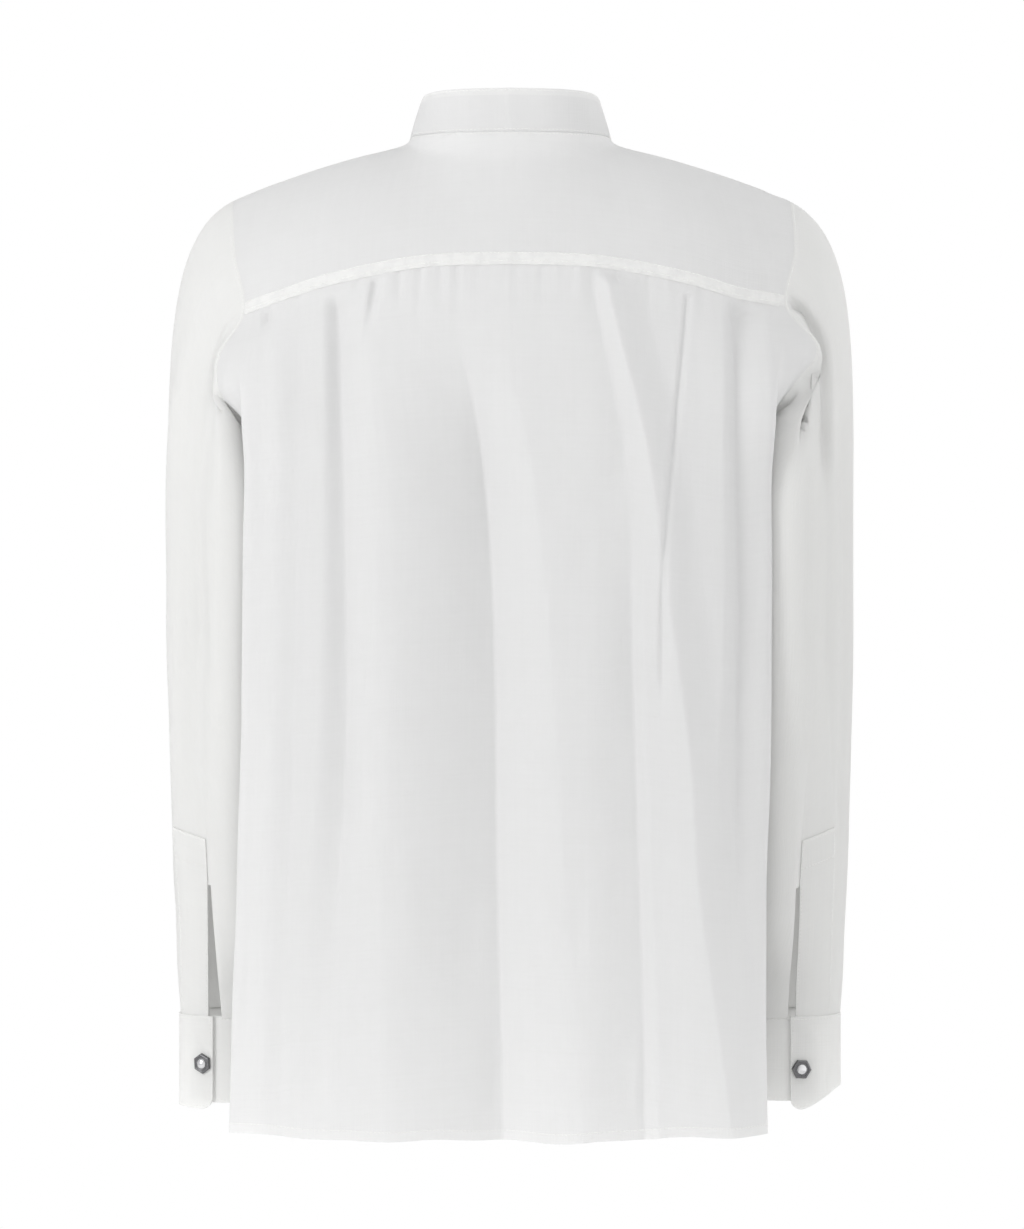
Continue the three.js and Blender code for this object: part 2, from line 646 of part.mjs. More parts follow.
// A front with its edge carried past the centre, so that the right one laps over the left one.
function frontGrid(side) {
  const rows = frontHalf(side);
  const beyond = rows.map((row) => {
    const lap = frontLap.width / row[1].x;
    return mirrored(row[0].clone().lerp(row[1], lap));
  });
  const under = side === "left" ? frontLap.step : 0;
  const stepBack = (x) => under * easeShare((frontLap.from - x) / frontLap.ease);
  return rows.map((row, i) => [beyond[i], ...row].map(({ x, y, z }) => vector(x, y + stepBack(x), z)));
}

// Draws a grid's outer rows or columns back by half a seam gap, so that its neighbour can stand beside it.
function trimmed(grid, { top = 0, low = 0, first = 0, last = 0 }) {
  const rows = grid.map((row) => row.map((point) => point.clone()));
  const pull = (point, towards, distance) => {
    const way = towards.clone().sub(point);
    return point.clone().addScaledVector(way.normalize(), distance);
  };
  const count = rows.length - 1;
  const columns = rows[0].length - 1;
  if (top) rows[0] = grid[0].map((point, j) => pull(point, grid[1][j], top));
  if (low) rows[count] = grid[count].map((point, j) => pull(point, grid[count - 1][j], low));
  rows.forEach((row, i) => {
    if (first) row[0] = pull(row[0], grid[i][1], first);
    if (last) row[columns] = pull(row[columns], grid[i][columns - 1], last);
  });
  return rows;
}

const backCloth = backGrid();
const yokeCloth = yokeGrid();
const frontCloth = { left: frontGrid("left"), right: frontGrid("right") };
const halfGap = seamGap / 2;

// Which way the cloth runs on across the armhole seam, from the panels that end there.
function armholeLeads(side) {
  const towards = side === "left" ? 1 : -1;
  const lastOf = (grid) => grid.map((row) => (side === "left" ? row.slice(-2) : [row[1], row[0]]));
  const outward = ([from, to]) => vector(towards * (to.x - from.x), to.y - from.y, to.z - from.z);
  const back = lastOf(backCloth).slice(0, backRises.length).map(outward);
  const yoke = lastOf(yokeCloth).map(outward);
  const front = frontHalf(side).map((row) => row[row.length - 1].clone().sub(row[row.length - 2]));
  const whole = [...back.slice(1).reverse(), ...yoke.slice(0, -1), ...front.slice(0, frontRises.length - 1)];
  whole[0] = vector(underarmWay.x, 0, underarmWay.z);
  return whole;
}

// A sleeve, on the wearer's left in this form: rows from the armhole down, columns from the underarm by the back.
function sleeveGrid(side) {
  const back = armholeBack(side).reverse();
  const yoke = armholeYoke(side);
  const front = armholeFront(side);
  const loop = [...back.slice(0, -1), ...yoke.slice(0, -1), ...front.slice(0, -1)];
  const leads = armholeLeads(side);
  const topColumn = back.length - 1 + Math.round(yokeRows * shoulderTopShare);
  const lengths = loop.map((point, j) => point.distanceTo(loop[(j + 1) % loop.length]));
  const sum = (from, to) => lengths.slice(from, to).reduce((total, length) => total + length, 0);
  const backAngle = (j) => Math.PI * (1 - sum(0, j) / sum(0, topColumn));
  const frontAngle = (j) => -Math.PI * (sum(topColumn, j) / sum(topColumn));
  const angles = loop.map((_, j) => (j <= topColumn ? backAngle(j) : frontAngle(j)));
  const open = slit[side];
  const low = sleeveLevels[sleeveLevels.length - 1];
  const lowHalfX = (low.outerX - low.innerX) / 2;
  const slitAngle = Math.acos((open.x - low.innerX - lowHalfX) / lowHalfX);
  const slitColumn = angles.findIndex((angle) => angle < slitAngle) - 1;
  const ringPoint = (level, angle) => {
    const halfX = (level.outerX - level.innerX) / 2;
    return vector(level.innerX + halfX * (1 + Math.cos(angle)), level.midY + level.halfY * Math.sin(angle), level.z);
  };
  const ringAngles = (level) => {
    const share = easeShare((sleeveLevels[2].z - level.z) / (sleeveLevels[2].z - open.topZ));
    const downSlit = clampShare((open.topZ - level.z) / (open.topZ - low.z));
    const width = (open.topWidth + (open.lowWidth - open.topWidth) * downSlit) / level.halfY;
    const strip = stripWidth / 2 / wristRadius;
    const goals = new Map([
      [slitColumn, slitAngle + width / 2],
      [slitColumn + 1, slitAngle - width / 2],
      [slitColumn + 2, slitAngle - width / 2 - strip],
      [slitColumn + 3, slitAngle - width / 2 - 2 * strip],
    ]);
    return angles.map((angle, j) => (goals.has(j) ? angle + (goals.get(j) - angle) * share : angle));
  };
  const firstAngles = ringAngles(sleeveLevels[0]);
  const columns = loop.map((from, j) => {
    const [next, last] = [loop[(j + 1) % loop.length], loop[(j + loop.length - 1) % loop.length]];
    const seamWay = next.clone().sub(last).normalize();
    const lead = leads[j].clone().addScaledVector(seamWay, -leads[j].dot(seamWay)).normalize();
    const to = ringPoint(sleeveLevels[0], firstAngles[j]);
    const reach = from.distanceTo(to);
    const under = 0.5 * (1 - Math.cos(angles[j]));
    const handle = shoulderHandle * reach * (1 - under) + underarmHandle * under;
    const start = from.clone().addScaledVector(lead, halfGap + underarmGap * under ** 4);
    return arch(start, lead.multiplyScalar(handle), vector(0, 0, hangHandle * reach), to);
  });
  const upper = sleeveRises.map((rise) => columns.map((column) => column.getPoint(rise)));
  const ring = (level) => ringAngles(level).map((angle) => ringPoint(level, angle));
  const grid = [...upper, ...sleeveLevels.slice(1).map(ring)];
  const degrees = angles.map((angle) => (THREE.MathUtils.radToDeg(angle) + 360) % 360);
  const inwards = (point, i, j) => {
    const fade = easeShare(i / sleeveEdgeFade.top) * easeShare((grid.length - 1 - i) / sleeveEdgeFade.low);
    return -fade * sleeveFolds[side].reduce((total, fold) => total + foldHeight(fold, degrees[j], point.z), 0);
  };
  const firstSlitRow = grid.findIndex((row) => row[0].z <= open.topZ);
  return { grid: raised(grid, true, inwards), slitColumn, firstSlitRow };
}

// The strip that covers the slit's outer edge: two cells of the sleeve, moved out, with a slanted upper end.
function stripGrid(sleeve, slitColumn) {
  const out = (clothWall + stripWall) / 2 + seamGap;
  const faces = facings(sleeve, true);
  const lift = (point, i, j) => point.clone().addScaledVector(faces[i][j], -out);
  const lifted = sleeve.map((row, i) => row.map((point, j) => lift(point, i, j)));
  const firstRow = sleeve.findIndex((row) => row[0].z <= stripTopZ);
  const rows = lifted.slice(firstRow).map((row) => row.slice(slitColumn + 1, slitColumn + 4));
  const above = lifted[firstRow - 1].slice(slitColumn + 1, slitColumn + 4);
  const rise = above[0].z - rows[0][0].z;
  rows[0] = rows[0].map((point, j) => point.clone().lerp(above[j], (stripSlant * j) / 2 / rise));
  return trimmed(rows, { low: seamGap });
}

// One cuff, on the wearer's left in this form: from the covered end round by the front to the flap.
function cuffGrid(side) {
  const top = sleeveLevels[sleeveLevels.length - 1];
  const halfX = (top.outerX - top.innerX) / 2;
  const flapAngle = Math.acos((cuff.flapX[side] - top.innerX - halfX) / halfX);
  const from = flapAngle - cuff.overlap / halfX;
  const shares = evenShares(cuff.cells);
  const lows = cuffEdges[side];
  return [0, 0.5, 1].map((down) =>
    shares.map((turn) => {
      const angle = from + (flapAngle + 2 * Math.PI - from) * turn;
      const over = easeShare((turn - 1 + cuffLap.share) / cuffLap.ease);
      const layer = cuffLayer * (over - easeShare((cuffLap.share - turn) / cuffLap.ease));
      const low = readTable(lows, "turn", "z", turn);
      const toFlapEdge = (1 - turn) * (2 * Math.PI * halfX + cuff.overlap);
      const corner = Math.max(0, cuff.cornerRadius - toFlapEdge);
      const cut = cuff.cornerRadius - Math.sqrt(cuff.cornerRadius ** 2 - corner ** 2);
      const z = top.z - seamGap + (low + cut - top.z + seamGap) * down;
      const x = top.innerX + halfX + (halfX + layer) * Math.cos(angle);
      return vector(x, top.midY + (top.halfY + layer) * Math.sin(angle), z);
    }),
  );
}

// The stand collar: from its covered end at the centre front round the neck to the end that laps over it.
function collarGrid() {
  const halfway = pointsBetween(neckCurve, 0, neckCorner.centreFront, evenShares(collarCells));
  const station = (share) => {
    const place = Math.abs(share) * collarCells;
    const i = Math.min(collarCells - 1, Math.floor(place));
    const base = halfway[i].clone().lerp(halfway[i + 1], place - i);
    return { base: share < 0 ? mirrored(base) : base, share: Math.abs(share) };
  };
  const lapShare = collarLap.width / halfway[collarCells - 1].x / collarCells;
  const layerAt = (share) => easeShare((share - 1 + collarLap.share) / collarLap.ease);
  const shares = evenShares(collarCells);
  const underHalf = shares.map((share) => ({ ...station(share), side: 1, layer: -layerAt(share) })).reverse();
  const overHalf = shares.slice(1).map((share) => ({ ...station(share), side: -1, layer: layerAt(share) }));
  const route = [
    { ...station(1 - lapShare), side: -1, layer: -1 },
    ...underHalf,
    ...overHalf,
    { ...station(1 - lapShare), side: 1, layer: 1 },
  ];
  return [0, 0.5, 1].map((up) =>
    route.map(({ base, share, side, layer }) => {
      const point = vector(side * base.x, base.y, base.z);
      const outward = vector(point.x, point.y - neckMiddleY, 0).normalize();
      const inset = readTable(collarLevels, "share", "inset", share);
      const height = readTable(collarLevels, "share", "height", share);
      const rise = collarLift + (height - collarLift) * up;
      return point.addScaledVector(outward, layer * collarLayer - inset * up ** 1.3).add(vector(0, 0, rise));
    }),
  );
}

// A button's place: the point of its back's middle, and the way it faces.
function frontButtonPlace(z) {
  const column = frontHalf("right").map((row) => row[0]);
  const i = column.findIndex((point) => point.z < z);
  const [above, below] = [column[i - 1], column[i]];
  const point = above.clone().lerp(below, (above.z - z) / (above.z - below.z));
  const facing = below.clone().sub(above).cross(vector(1, 0, 0)).normalize();
  return { point: point.addScaledVector(facing, clothWall / 2 + buttonSeat), facing };
}

function cuffButtonPlace(side) {
  const top = sleeveLevels[sleeveLevels.length - 1];
  const halfX = (top.outerX - top.innerX) / 2 + cuffLayer;
  const halfY = top.halfY + cuffLayer;
  const middleX = (top.outerX + top.innerX) / 2;
  const angle = Math.acos((cuffButtons[side].x - middleX) / halfX);
  const towards = side === "left" ? 1 : -1;
  const facing = vector((towards * Math.cos(angle)) / halfX, Math.sin(angle) / halfY, 0).normalize();
  const x = middleX + halfX * Math.cos(angle);
  const point = vector(towards * x, top.midY + halfY * Math.sin(angle), cuffButtons[side].z);
  return { point: point.addScaledVector(facing, bandWall / 2 + buttonSeat), facing };
}

function collarButtonPlace() {
  const grid = collarGrid();
  const [low, middle, high] = grid.map((row) => row[row.length - 2]);
  const facing = high.clone().sub(low).cross(vector(1, 0, 0)).normalize();
  if (facing.y > 0) facing.negate();
  return { point: middle.clone().addScaledVector(facing, bandWall / 2 + buttonSeat), facing };
}

function buttonPiece(name, { point, facing }) {
  const profile = buttonProfile.map(({ radius, height }) => new THREE.Vector2(radius, height));
  const finish = new THREE.MeshStandardMaterial(buttonMetal);
  const mesh = new THREE.Mesh(new THREE.LatheGeometry(profile, buttonSides), finish);
  mesh.quaternion.setFromUnitVectors(vector(0, 1, 0), facing);
  mesh.position.copy(point);
  mesh.name = name;
  return mesh;
}

const turned = (grid) => grid.map((row) => row.map(mirrored).reverse());

// Builds a named piece from its geometry, with its own finish.
function piece(name, geometry, finish) {
  const volume = signedVolume(geometry);
  if (volume < 0) {
    const order = geometry.index.array;
    for (let i = 0; i < order.length; i += 3) [order[i + 1], order[i + 2]] = [order[i + 2], order[i + 1]];
    geometry.computeVertexNormals();
  }
  const mesh = new THREE.Mesh(geometry, new THREE.MeshStandardMaterial(finish));
  mesh.name = name;
  return mesh;
}

function signedVolume(geometry) {
  const at = (i) => new THREE.Vector3().fromBufferAttribute(geometry.attributes.position, geometry.index.array[i]);
  let total = 0;
  for (let i = 0; i < geometry.index.count; i += 3) total += at(i).dot(at(i + 1).cross(at(i + 2))) / 6;
  return total;
}

const group = new THREE.Group();
group.name = "shirt";

const backSeams = { top: halfGap, first: halfGap, last: halfGap };
group.add(piece("back", clothSolid(trimmed(backCloth, backSeams), clothWall), cloth));
group.add(piece("yoke", clothSolid(trimmed(yokeCloth, { ...backSeams, low: halfGap }), clothWall), cloth));
for (const side of ["left", "right"]) {
  const grid = trimmed(frontCloth[side], { top: halfGap, last: halfGap });
  group.add(piece(`front_${side}`, clothSolid(side === "left" ? grid : turned(grid), clothWall), cloth));
}
group.add(piece("collar_band", clothSolid(collarGrid(), bandWall), bandCloth));
for (const side of ["left", "right"]) {
  const { grid, slitColumn, firstSlitRow } = sleeveGrid(side);
  const keep = (i, j) => !(j === slitColumn && i >= firstSlitRow);
  const sleeve = clothSolid(grid, clothWall, { closed: true, keep });
  const strip = clothSolid(stripGrid(grid, slitColumn), stripWall);
  const band = clothSolid(cuffGrid(side), bandWall);
  const made = { sleeve: [sleeve, cloth], sleeve_placket: [strip, bandCloth], cuff: [band, bandCloth] };
  for (const [name, [solid, finish]] of Object.entries(made)) {
    if (side === "right") solid.scale(-1, 1, 1);
    group.add(piece(`${name}_${side}`, solid, finish));
  }
  group.add(buttonPiece(`cuff_button_${side}`, cuffButtonPlace(side)));
}
for (let i = 0; i < frontButtons.count; i++) {
  group.add(buttonPiece(`button_${i + 1}`, frontButtonPlace(frontButtons.topZ - i * frontButtons.pitch)));
}
group.add(buttonPiece("collar_button", collarButtonPlace()));

export default group;
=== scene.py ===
import math

import bmesh
import bpy
import numpy as np
from mathutils import Matrix, Vector


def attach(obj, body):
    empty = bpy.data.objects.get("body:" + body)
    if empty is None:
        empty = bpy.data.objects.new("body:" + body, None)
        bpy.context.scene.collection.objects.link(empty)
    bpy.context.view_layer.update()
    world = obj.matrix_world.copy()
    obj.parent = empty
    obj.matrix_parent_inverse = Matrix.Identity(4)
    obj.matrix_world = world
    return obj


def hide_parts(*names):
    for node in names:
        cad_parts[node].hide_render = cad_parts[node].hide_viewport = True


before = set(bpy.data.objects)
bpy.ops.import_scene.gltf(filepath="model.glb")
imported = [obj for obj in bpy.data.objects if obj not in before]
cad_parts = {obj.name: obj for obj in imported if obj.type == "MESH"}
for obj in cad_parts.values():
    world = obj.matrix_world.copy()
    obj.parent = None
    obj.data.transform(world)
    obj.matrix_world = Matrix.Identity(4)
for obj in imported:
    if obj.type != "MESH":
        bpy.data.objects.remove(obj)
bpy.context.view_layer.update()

# ---- yoke
# The yoke is one piece of thin white woven cloth over the shoulders, cut with its grain across. The back is
# gathered into its lower edge, and the seam allowance is pressed up behind it, where it shows through as a
# lighter band. Its far edges are sewn to the collar band and to the fronts.

MM = 0.001
CLOTH_WALL = 0.55
SEAM_LAP = 1.1


def ease(share):
    share = np.clip(share, 0, 1)
    return share * share * (3 - 2 * share)


def split(values, times):
    """Each stretch of a row of values cut into equal parts."""
    count = len(values) - 1
    return np.interp(np.linspace(0, count, count * times + 1), np.arange(count + 1), values)


def smooth_read(keys, values, at):
    """A smooth value between the entries of a table."""
    order = np.argsort(keys)
    keys, values = np.asarray(keys, float)[order], np.asarray(values, float)[order]
    slopes = np.diff(values) / np.diff(keys)
    middle = (values[2:] - values[:-2]) / (keys[2:] - keys[:-2])
    tangents = np.concatenate([slopes[:1], middle, slopes[-1:]])
    i = np.clip(np.searchsorted(keys, at, side="left") - 1, 0, len(keys) - 2)
    span = keys[i + 1] - keys[i]
    t = np.clip((at - keys[i]) / span, 0, 1)
    return (
        (2 * t**3 - 3 * t**2 + 1) * values[i]
        + (t**3 - 2 * t**2 + t) * span * tangents[i]
        + (3 * t**2 - 2 * t**3) * values[i + 1]
        + (t**3 - t**2) * span * tangents[i + 1]
    )


def along(points, shares, start=0, end=None, closed=False):
    """Points at shares of the length between two of a smooth line's own points."""
    points = np.asarray(points, float)
    count = len(points)
    end = count - 1 if end is None else end
    t = np.linspace(start, end, 481)
    i = np.floor(t).astype(int)
    if closed:
        ring = lambda k: points[k % count]
        before, here, there, after = ring(i - 1), ring(i), ring(i + 1), ring(i + 2)
    else:
        i = np.minimum(i, count - 2)
        ends = np.vstack([2 * points[0] - points[1], points, 2 * points[-1] - points[-2]])
        before, here, there, after = ends[i], ends[i + 1], ends[i + 2], ends[i + 3]
    w = (t - i)[:, None]
    gap = lambda a, b: np.maximum(np.linalg.norm(a - b, axis=1, keepdims=True), 1e-6) ** 0.5
    d0, d1, d2 = gap(before, here), gap(here, there), gap(there, after)
    leave = ((here - before) / d0 - (there - before) / (d0 + d1)) * d1 + (there - here)
    arrive = (there - here) + ((after - there) / d2 - (after - here) / (d1 + d2)) * d1
    line = (
        here
        + leave * w
        + (-3 * here + 3 * there - 2 * leave - arrive) * w**2
        + (2 * here - 2 * there + leave + arrive) * w**3
    )
    run = np.concatenate([[0], np.cumsum(np.linalg.norm(np.diff(line, axis=0), axis=1))])
    return np.stack([np.interp(np.asarray(shares) * run[-1], run, line[:, k]) for k in range(3)], axis=1)


def arch(start, rise, lead, end, share):
    """A point on the cubic arch between two points with a handle at each."""
    a, b = start + rise, end + lead
    rest = 1 - share
    return start * rest**3 + 3 * a * share * rest**2 + 3 * b * share**2 * rest + end * share**3


def facings(grid, closed=False):
    """The way that cloth faces at each point of its grid: across the row, times down the column."""
    down = np.empty_like(grid)
    down[1:-1], down[0], down[-1] = grid[2:] - grid[:-2], grid[1] - grid[0], grid[-1] - grid[-2]
    if closed:
        across = np.roll(grid, -1, axis=1) - np.roll(grid, 1, axis=1)
    else:
        across = np.empty_like(grid)
        across[:, 1:-1] = grid[:, 2:] - grid[:, :-2]
        across[:, 0], across[:, -1] = grid[:, 1] - grid[:, 0], grid[:, -1] - grid[:, -2]
    normal = np.cross(across, down)
    return normal / np.linalg.norm(normal, axis=2, keepdims=True)


MIRROR = np.array([-1.0, 1.0, 1.0])
SIDES = {"left": 1, "right": -1}

YOKE_SEAM = {
    "left": [(0, 89, -93.4), (60, 86, -95.5), (123, 77, -107), (154, 67, -116), (183, 50, -125)],
    "right": [(0, 89, -93.4), (60, 86, -95.5), (123, 77, -106.5), (154, 67, -115), (189, 48, -120)],
}
ARMHOLE = {
    "left": [
        (149, 0, -222), (171, 33, -209), (186, 45, -196), (200, 49, -178), (200, 50, -155), (183, 50, -125),
        (190, 36, -84), (194, -2, -43), (191, -36, -64), (184, -58, -112), (177, -60, -160), (166, -40, -202),
    ],
    "right": [
        (149, 0, -222), (168, 32, -207), (184, 44, -188), (197, 47, -171), (211, 45, -150), (189, 48, -120),
        (196, 34, -82), (195, -2, -43), (191, -36, -64), (184, -58, -112), (177, -60, -160), (166, -40, -202),
    ],
}
ARMHOLE_YOKE_BACK, ARMHOLE_YOKE_FRONT, ARMHOLE_END = 5, 8, 12
NECK_SEAM = [
    (0, 52, 0), (32, 47, 0), (55, 32, 0.3), (69, 3, 0), (69, -20, -9), (56, -46, -33), (30, -61, -53), (0, -67, -60),
]
NECK_SHOULDER = 4
SHOULDER_SEAM = np.array([(69, -20, -9), (130, -31, -34), (191, -36, -64)], float)
YOKE_COLUMNS = {
    "share": (0, 0.2, 0.36, 0.45, 0.56, 0.7, 1),
    "rise_y": (-10, -9, -7, -5, -5, -5, -4),
    "rise_z": (36, 38, 48, 60, 70, 75, 70),
    "lead_x": (0, 4, 13, 9, 4, 2, 2),
    "lead_y": (16, 17, 24, 26, 24, 22, 24),
    "lead_z": (-30, -28, -4, 24, 29, 31, 30),
}
BACK_CELLS, FLAP_CELLS = 28, 8
SEAM_MIDDLE, PLAN_MIDDLE = 0.86, 0.74
SEAM_FOLLOW_POWER = 1.3


def column_shares(middle, back_times, flap_times):
    inner = np.linspace(0, middle, BACK_CELLS * back_times + 1)
    return np.concatenate([inner, np.linspace(middle, 1, FLAP_CELLS * flap_times + 1)[1:]])


def follow(share, start):
    return ease((share - start) / (1 - start)) ** SEAM_FOLLOW_POWER


def shoulder(share):
    share = np.asarray(share)[:, None]
    a, b, c = SHOULDER_SEAM
    return a * (1 - share) ** 2 + 2 * b * share * (1 - share) + c * share**2


def armhole(side, start, end, shares):
    return along(ARMHOLE[side], shares, start, end, closed=True)


def both_halves(half):
    """A grid from the wearer's right to the left, from the function that makes one half in the left's form."""
    left, right = half("left"), half("right")
    return np.concatenate([right[:, :0:-1] * MIRROR, left], axis=1)


YOKE_NECK_CELLS, YOKE_SHOULDER_CELLS = 8, 10
YOKE_TIMES = 6
yoke_rows = np.concatenate([np.linspace(0, 0.16, 9), np.linspace(0.16, 1, 37)[1:]])


def yoke_half(side):
    cells = YOKE_NECK_CELLS + YOKE_SHOULDER_CELLS
    share = np.linspace(0, 1, cells * YOKE_TIMES + 1)
    back_cells = np.arange(BACK_CELLS + FLAP_CELLS + 1)
    seam_share = np.interp(share * cells * 2, back_cells, column_shares(SEAM_MIDDLE, 1, 1))
    seam = along(YOKE_SEAM[side], seam_share)
    neck = along(NECK_SEAM, np.linspace(0, 1, YOKE_NECK_CELLS * YOKE_TIMES + 1), 0, NECK_SHOULDER)
    far = np.vstack([neck, shoulder(np.linspace(0, 1, YOKE_SHOULDER_CELLS * YOKE_TIMES + 1))[1:]])
    read = lambda key: smooth_read(YOKE_COLUMNS["share"], YOKE_COLUMNS[key], share)
    rise = np.stack([0 * share, read("rise_y"), read("rise_z")], axis=1)
    lead = np.stack([read("lead_x"), read("lead_y"), read("lead_z")], axis=1)
    grid = np.stack([arch(seam, rise, lead, far, row) for row in yoke_rows])
    edge = armhole(side, ARMHOLE_YOKE_BACK, ARMHOLE_YOKE_FRONT, yoke_rows)
    return grid + (edge - grid[:, -1])[:, None] * follow(share, 0.45)[None, :, None]


def fold(line, left, right, depth, start, end, crisp=0):
    """A fold's line of (place, height), its reach to either side, its depth and the lengths that it fades over."""
    return {
        "line": line, "left": left, "right": right, "depth": depth, "start": start, "end": end, "crisp": crisp,
    }


def fold_height(folds, across, down):
    """How far a set of folds lifts the cloth. Each follows its own line, with its own reach to either side, from
    its upper end to its lower one. A crisp fold has a sharp crest."""
    total = np.zeros_like(across)
    for one in folds:
        places, heights = np.array(one["line"], float).T
        offset = across - smooth_read(heights, places, down)
        run = (heights[0] - down) / (heights[0] - heights[-1])
        left, right = (np.interp(run, (0, 1), np.ravel(one[way])[[0, -1]]) for way in ("left", "right"))
        beside = np.clip(np.abs(offset) / np.where(offset > 0, left, right), 0, 1)
        fade = ease((heights[0] - down) / one["start"]) * ease((down - heights[-1]) / one["end"])
        crisp = one["crisp"]
        shape = (1 - crisp) * 0.5 * (1 + np.cos(np.pi * beside)) + crisp * (1 - beside) ** 1.35
        total += one["depth"] * fade * shape
    return total


def loose_creases(seed, count, across, down, lengths, depths, reaches):
    """Small shallow creases in uneven places, which hang a little out of line."""
    place = np.random.default_rng(seed)
    folds = []
    for _ in range(count):
        x, z = place.uniform(across.min(), across.max()), place.uniform(down.min(), down.max())
        length, lean = place.uniform(*lengths), place.normal(0, 0.05)
        line = [(x, z), (x + lean * length, z - length)]
        left, right = place.uniform(*reaches), place.uniform(*reaches)
        depth = place.uniform(*depths) * place.choice([-1, 1])
        folds.append(fold(line, left, right, depth, length * 0.45, length * 0.5))
    return fold_height(folds, across, down)


def lengths_from(grid, axis):
    step = np.linalg.norm(np.diff(grid, axis=axis), axis=2)
    start = np.zeros((1, step.shape[1]) if axis == 0 else (step.shape[0], 1))
    return np.concatenate([start, np.cumsum(step, axis=axis)], axis=axis)


def made_piece(name, bm):
    """The finished mesh as an object of the scene."""
    mesh = bpy.data.meshes.new(name)
    bm.to_mesh(mesh)
    bm.free()
    piece = bpy.data.objects.new(name, mesh)
    bpy.context.scene.collection.objects.link(piece)
    return piece


def cloth_piece(name, grid, wall, closed=False, dropped=lambda row, column: False, edges=None):
    """A wall of cloth on a grid of points in millimetres. Its map holds the cloth's own lengths across and down,
    and a second one the distances to the edges that its material needs."""
    rows, columns = grid.shape[:2]
    width = columns + closed
    whole = np.concatenate([grid, grid[:, :1]], axis=1) if closed else grid
    across, down = lengths_from(whole, 1), lengths_from(whole, 0)
    across = across - across[:, width // 2 : width // 2 + 1]
    to_edges = edges(across, down) if edges else (down, down[-1:] - down)
    bm = bmesh.new()
    bmesh.ops.create_grid(bm, x_segments=width - 1, y_segments=rows - 1, size=0.5)
    bm.verts.ensure_lookup_table()
    cloth_map = bm.loops.layers.uv.new("cloth")
    edge_map = bm.loops.layers.uv.new("edges")
    for face in bm.faces:
        for loop in face.loops:
            i, j = divmod(loop.vert.index, width)
            loop[cloth_map].uv = (across[i, j] * MM, down[i, j] * MM)
            loop[edge_map].uv = (to_edges[0][i, j] * MM, to_edges[1][i, j] * MM)
    gone = [face for face in bm.faces if dropped(*divmod(min(v.index for v in face.verts), width))]
    places = whole.reshape(-1, 3) * MM
    for vert in bm.verts:
        vert.co = places[vert.index]
    if gone:
        bmesh.ops.delete(bm, geom=gone, context="FACES")
    if closed:
        bmesh.ops.remove_doubles(bm, verts=bm.verts, dist=1e-6)
    for edge in bm.edges:
        if edge.is_boundary:
            edge.smooth = False
    for face in bm.faces:
        face.smooth = True
    piece = made_piece(name, bm)
    shell = piece.modifiers.new("wall", "SOLIDIFY")
    shell.thickness = wall * MM
    shell.offset = 0
    return piece


class Wire:
    """A node's output. Sums and products of wires add their Math nodes to the same material."""

    def __init__(self, socket):
        self.socket = socket

    def node(self, kind, settings=(), inputs=(), output=0):
        made = self.socket.id_data.nodes.new("ShaderNode" + kind)
        for key, value in dict(settings).items():
            setattr(made, key, value)
        for key, value in dict(inputs).items():
            if isinstance(value, Wire):
                self.socket.id_data.links.new(value.socket, made.inputs[key])
            else:
                made.inputs[key].default_value = value
        return Wire(made.outputs[output])

    def math(self, operation, *others):
        values = dict(enumerate((self, *others)))
        return self.node("Math", {"operation": operation}, values)

    def __add__(self, other):
        return self.math("ADD", other)

    __radd__ = __add__

    def __mul__(self, other):
        return self.math("MULTIPLY", other)

    __rmul__ = __mul__

    def __sub__(self, other):
        return self.math("SUBTRACT", other)

    def __rsub__(self, other):
        return (self * -1).math("ADD", other)

    def between(self, low, high):
        """0 below low and 1 above high, with a soft step."""
        return self.node("MapRange", {"interpolation_type": "SMOOTHSTEP"}, {0: self, 1: low, 2: high})


def new_finish(name, start, settings=()):
    """A material, its shader and the wire of its first node."""
    made = bpy.data.materials.new(name)
    made.use_nodes = True
    shader = made.node_tree.nodes["Principled BSDF"]
    first = made.node_tree.nodes.new("ShaderNode" + start)
    for key, value in dict(settings).items():
        setattr(first, key, value)
    return made, shader, first


CLOTH_WHITE = (0.81, 0.81, 0.81)
LAYER_WHITE = (0.90, 0.90, 0.89)
SHEER = 0.5


